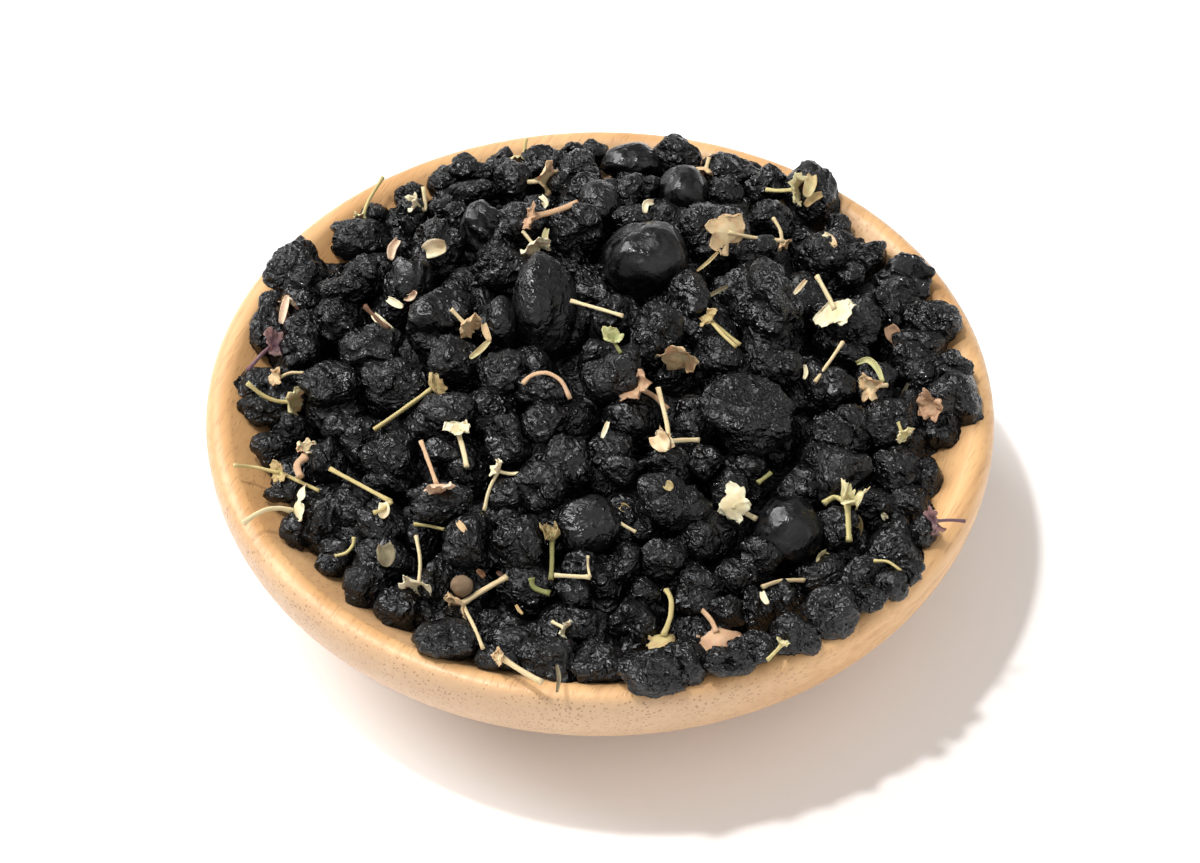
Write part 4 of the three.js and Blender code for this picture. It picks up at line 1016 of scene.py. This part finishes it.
def connect(material, inputs):
    """Sets the surface shader's inputs to values or to other nodes' outputs."""
    shader = material.node_tree.nodes["Principled BSDF"]
    for key, value in inputs.items():
        if isinstance(value, bpy.types.NodeSocket):
            material.node_tree.links.new(value, shader.inputs[key])
        else:
            shader.inputs[key].default_value = value


def math_node(material, operation, *values):
    return add_node(material, "ShaderNodeMath", dict(enumerate(values)), operation=operation).outputs[0]


def ramp(material, factor, low, high, start=0.0, end=1.0):
    """Start at low, end at high, smooth between."""
    inputs = {"Value": factor, "From Min": low, "From Max": high, "To Min": start, "To Max": end}
    node = add_node(material, "ShaderNodeMapRange", inputs, interpolation_type="SMOOTHSTEP")
    return node.outputs["Result"]


def mix(material, factor, first, second, blend_type="MIX"):
    node = add_node(material, "ShaderNodeMix", {}, data_type="RGBA", blend_type=blend_type)
    wanted = {"Factor_Float": factor, "A_Color": first, "B_Color": second}
    for target in node.inputs:
        value = wanted.get(target.identifier)
        if isinstance(value, bpy.types.NodeSocket):
            material.node_tree.links.new(value, target)
        elif value is not None:
            target.default_value = (*value, 1) if isinstance(value, tuple) else value
    return next(entry for entry in node.outputs if entry.identifier == "Result_Color")


def painted(material, name):
    node = add_node(material, "ShaderNodeAttribute", {}, attribute_name=name, attribute_type="GEOMETRY")
    return node.outputs["Fac"]


def stretched_place(material, turn, scale):
    """Place on the object, turned about +Z and scaled along and across."""
    place = add_node(material, "ShaderNodeTexCoord", {}).outputs["Object"]
    turned = add_node(material, "ShaderNodeMapping", {"Vector": place, "Rotation": (0, 0, -turn)})
    scaled = add_node(material, "ShaderNodeMapping", {"Vector": turned.outputs[0], "Scale": scale})
    return scaled.outputs[0]


def noise_node(material, place, scale, detail=3.0, roughness=0.5):
    inputs = {"Vector": place, "Scale": scale, "Detail": detail, "Roughness": roughness}
    return add_node(material, "ShaderNodeTexNoise", inputs).outputs["Fac"]


def ridged_noise(material, place, scale):
    """A net of sharp ridges, 1 along them, with finer ones between."""
    inputs = {"Vector": place, "Scale": scale, "Detail": 2, "Roughness": 0.55, "Distortion": 0.8}
    settings = dict(noise_type="RIDGED_MULTIFRACTAL", normalize=True)
    return add_node(material, "ShaderNodeTexNoise", inputs, **settings).outputs["Fac"]


def end_grain_share(material):
    """From 0 where the surface runs along the grain to 1 where it cuts across."""
    normal = add_node(material, "ShaderNodeTexCoord", {}).outputs["Normal"]
    grain = (math.cos(GRAIN_TURN), math.sin(GRAIN_TURN), 0)
    across = add_node(material, "ShaderNodeVectorMath", {0: normal, 1: grain}, operation="DOT_PRODUCT")
    return ramp(material, math_node(material, "ABSOLUTE", across.outputs["Value"]), 0.35, 0.8)


def wood_material():
    """Pale open-pored hardwood with a satin finish. Pores show as dashes along the grain and dots across it."""
    material = new_material("pale_wood")
    bands = noise_node(material, stretched_place(material, GRAIN_TURN, (9, 95, 95)), 1, 2)
    fibres = noise_node(material, stretched_place(material, GRAIN_TURN, (45, 900, 900)), 1, 4, 0.6)
    pore_place = stretched_place(material, GRAIN_TURN, (200, 2200, 2200))
    pore = add_node(material, "ShaderNodeTexVoronoi", {"Vector": pore_place, "Scale": 1, "Randomness": 1})
    size = add_node(material, "ShaderNodeSeparateColor", {"Color": pore.outputs["Color"]}).outputs[0]
    reach = math_node(material, "MULTIPLY_ADD", size, 0.2, 0.16)
    inside = math_node(material, "SUBTRACT", reach, pore.outputs["Distance"])
    pores = ramp(material, inside, -0.04, 0.08)
    colour = mix(material, ramp(material, bands, 0.3, 0.7), (0.60, 0.36, 0.165), (0.49, 0.265, 0.105))
    colour = mix(material, ramp(material, fibres, 0.4, 0.75, 0, 0.5), colour, (0.40, 0.20, 0.08))
    end_grain = end_grain_share(material)
    colour = mix(material, math_node(material, "MULTIPLY", end_grain, 0.75), colour, (0.43, 0.29, 0.18))
    depth = math_node(material, "MULTIPLY_ADD", end_grain, 0.5, 0.22)
    colour = mix(material, math_node(material, "MULTIPLY", pores, depth), colour, (0.20, 0.09, 0.035))
    relief = math_node(material, "MULTIPLY_ADD", pores, -1.0, math_node(material, "MULTIPLY", fibres, 0.35))
    bump = add_node(material, "ShaderNodeBump", {"Height": relief, "Strength": 0.35, "Distance": 0.0002})
    connect(material, {
        "Base Color": colour,
        "Roughness": ramp(material, fibres, 0.3, 0.7, 0.38, 0.52),
        "Normal": bump.outputs[0],
        "Specular IOR Level": 0.45,
        "Coat Weight": 0.12,
        "Coat Roughness": 0.3,
    })
    return material


def berry_material():
    """Near-black dried skin, dull blue-grey on the ridges of its creases, partly bloom and partly painted light,
    and darker in the creases as painted shade, with finer creases as bump.
    """
    material = new_material("dried_berry_skin")
    place = add_node(material, "ShaderNodeTexCoord", {}).outputs["Object"]
    fold = painted(material, "fold")
    tint = painted(material, "tint")
    gloss = painted(material, "gloss")
    crease = painted(material, "crease")
    wrinkles = ridged_noise(material, place, 620)
    fine = ridged_noise(material, place, 1500)
    bloom = noise_node(material, place, 260, 3)
    dark = mix(material, tint, (0.0015, 0.0015, 0.002), (0.002, 0.0018, 0.0022))
    pale = mix(material, ramp(material, tint, 0.1, 0.4), (0.009, 0.0098, 0.012), (0.004, 0.0045, 0.0055))
    pale = mix(material, ramp(material, tint, 0.8, 0.95), pale, (0.042, 0.014, 0.022))
    # Paler where folds and fine ridges stand out, partly the skin's bloom and partly painted light; the creases
    # and fine valleys keep the dark colour as painted shade.
    raised = math_node(material, "MULTIPLY", ramp(material, fold, 0.2, 0.8), ramp(material, fine, 0.35, 0.7))
    ridge_bloom_and_crease_shade = math_node(material, "MULTIPLY", raised, ramp(material, bloom, 0.3, 0.65, 0.3, 1))
    colour = mix(material, ridge_bloom_and_crease_shade, dark, pale)
    height = math_node(material, "MULTIPLY_ADD", fine, 0.5, wrinkles)
    bump = add_node(material, "ShaderNodeBump", {
        "Height": height, "Strength": ramp(material, crease, 0, 0.9, 0.05, 1), "Distance": 0.001,
    })
    valley = ramp(material, math_node(material, "ADD", fine, fold), 0.2, 0.8, 0.35, 0)
    dull = math_node(material, "ADD", math_node(material, "MULTIPLY_ADD", bloom, 0.22, 0.06), valley)
    connect(material, {
        "Base Color": colour,
        "Roughness": math_node(material, "MULTIPLY_ADD", gloss, 0.02, dull),
        "Normal": bump.outputs[0],
        "Specular IOR Level": 0.4,
    })
    return material


def dry_material(name, pale, deep, spot):
    """A dried stem or calyx: papery and pale at the edge, fibrous along the stem, spotted with age."""
    material = new_material(name)
    place = add_node(material, "ShaderNodeTexCoord", {}).outputs["Object"]
    papery = painted(material, "papery")
    age = painted(material, "age")
    patches = noise_node(material, place, 700, 3)
    blotches = noise_node(material, place, 380, 4, 0.6)
    fibres = noise_node(material, place, 3200, 2)
    edge = add_node(material, "ShaderNodeMath", {0: papery, 1: patches}, operation="ADD").outputs[0]
    colour = mix(material, ramp(material, edge, 0.4, 1.2), deep, pale)
    aged = ramp(material, math_node(material, "ADD", blotches, age), 0.8, 1.2, 0, 0.75)
    aged = math_node(material, "MULTIPLY", aged, ramp(material, papery, 0, 0.4, 0.3, 1))
    colour = mix(material, aged, colour, spot)
    colour = mix(material, ramp(material, fibres, 0.35, 0.7, 0, 0.3), colour, deep)
    bump = add_node(material, "ShaderNodeBump", {"Height": fibres, "Strength": 0.35, "Distance": 0.00012})
    connect(material, {
        "Base Color": colour,
        "Roughness": 0.72,
        "Normal": bump.outputs[0],
        "Specular IOR Level": 0.3,
        "Subsurface Weight": 0.12,
        "Subsurface Scale": 0.0006,
    })
    return material


def floor_material():
    material = new_material("white_floor")
    connect(material, {"Base Color": (0.93, 0.92, 0.91, 1), "Roughness": 0.9, "Specular IOR Level": 0.1})
    return material


# Stage, light and camera

def add_floor():
    mesh = bpy.data.meshes.new("floor")
    half = FLOOR_SIZE / 2
    mesh.from_pydata([(-half, -half, 0), (half, -half, 0), (half, half, 0), (-half, half, 0)], [], [(0, 1, 2, 3)])
    mesh.materials.append(floor_material())
    floor = bpy.data.objects.new("floor", mesh)
    bpy.context.collection.objects.link(floor)


def share_towards(world, direction, middle):
    """1 where the sky lies in the middle direction, 0 square to it."""
    inputs = {0: direction, 1: Vector(middle).normalized()}
    return add_node(world, "ShaderNodeVectorMath", inputs, operation="DOT_PRODUCT").outputs["Value"]


def add_light():
    world = bpy.data.worlds.new("studio")
    world.use_nodes = True
    direction = add_node(world, "ShaderNodeTexCoord", {}).outputs["Generated"]
    height = add_node(world, "ShaderNodeSeparateXYZ", {"Vector": direction}).outputs["Z"]
    sky = ramp(world, height, FILL_LOW, FILL_HIGH, SIDE_FILL, TOP_FILL)
    softbox_share = share_towards(world, direction, SOFTBOX_DIRECTION)
    softbox = ramp(world, softbox_share, SOFTBOX_EDGE, SOFTBOX_MIDDLE, 0, SOFTBOX_FILL)
    front = ramp(world, share_towards(world, direction, FRONT_DIRECTION), 0.2, 0.95, 0, FRONT_FILL)
    strength = math_node(world, "ADD", sky, math_node(world, "ADD", softbox, front))
    background = world.node_tree.nodes["Background"]
    background.inputs["Color"].default_value = (1, 1, 1, 1)
    world.node_tree.links.new(strength, background.inputs["Strength"])
    bpy.context.scene.world = world
    lamp = bpy.data.lights.new("key", "SUN")
    lamp.energy = KEY_STRENGTH
    lamp.angle = KEY_ANGLE
    key = bpy.data.objects.new("key", lamp)
    key.rotation_euler = Vector(KEY_DIRECTION).to_track_quat("Z", "Y").to_euler()
    bpy.context.collection.objects.link(key)


def add_camera():
    lens = bpy.data.cameras.new("view")
    lens.sensor_width = SENSOR_WIDTH
    lens.lens = PIXELS_PER_MM * VIEW_DISTANCE * SENSOR_WIDTH / IMAGE_WIDTH
    lens.shift_x = (IMAGE_WIDTH / 2 - VIEW_COLUMN) / IMAGE_WIDTH
    lens.shift_y = (VIEW_ROW - IMAGE_HEIGHT / 2) / IMAGE_WIDTH
    lens.clip_end = 10
    camera = bpy.data.objects.new("view", lens)
    facing = Matrix((RIGHT, UP, -AWAY)).transposed().to_4x4()
    camera.matrix_world = Matrix.Translation(EYE * MM) @ facing
    bpy.context.collection.objects.link(camera)
    bpy.context.scene.camera = camera


def add_bowl():
    corners, faces = lathe(bowl_section(), BOWL_SIDES)
    piece = new_piece("bowl_turned", corners, faces, wood_material())
    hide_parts("bowl")


def add_berries(top, under):
    material = berry_material()
    numbered = list(enumerate(top))
    per_piece = math.ceil(len(numbered) / TOP_PIECES)
    for i in range(TOP_PIECES):
        part = numbered[i * per_piece:(i + 1) * per_piece]
        berries_piece(f"berries_top_{i + 1}", part, material)
    berries_piece("berries_under", [(1000 + i, berry) for i, berry in enumerate(under)], material)
    hidden = hidden_layer(top)
    berries_piece("berries_behind", [(1500 + i, berry) for i, berry in enumerate(hidden)], material)
    core_piece(material)


def add_stems(berries):
    materials = {
        "cream": dry_material("dry_cream", (0.70, 0.62, 0.43), (0.55, 0.45, 0.26), (0.42, 0.23, 0.095)),
        "straw": dry_material("dry_straw", (0.62, 0.55, 0.31), (0.42, 0.355, 0.15), (0.32, 0.18, 0.07)),
        "green": dry_material("dry_green", (0.42, 0.40, 0.19), (0.17, 0.175, 0.06), (0.26, 0.16, 0.07)),
        "olive": dry_material("dry_olive", (0.17, 0.14, 0.08), (0.07, 0.06, 0.035), (0.04, 0.03, 0.02)),
        "peach": dry_material("dry_peach", (0.68, 0.50, 0.36), (0.46, 0.29, 0.165), (0.27, 0.13, 0.06)),
        "brown": dry_material("dry_brown", (0.24, 0.12, 0.06), (0.10, 0.045, 0.022), (0.05, 0.025, 0.018)),
        "seed": dry_material("dry_seed", (0.22, 0.16, 0.10), (0.16, 0.105, 0.06), (0.08, 0.05, 0.03)),
        "mauve": dry_material("dry_mauve", (0.46, 0.32, 0.27), (0.13, 0.07, 0.09), (0.10, 0.04, 0.05)),
    }
    for number, stem in enumerate(STEMS):
        stem_piece(2000 + number, stem, berries, materials)
    for number, bit in enumerate(BITS):
        bit_piece(3000 + number, bit, berries, materials)
    seed_piece(berries, materials)


def main():
    add_floor()
    add_light()
    add_camera()
    bpy.context.scene.view_settings.view_transform = "Standard"
    top = [top_berry(number, place) for number, place in enumerate(BERRIES)]
    under = under_layer(top)
    add_bowl()
    add_berries(top, under)
    add_stems(top + under)


main()
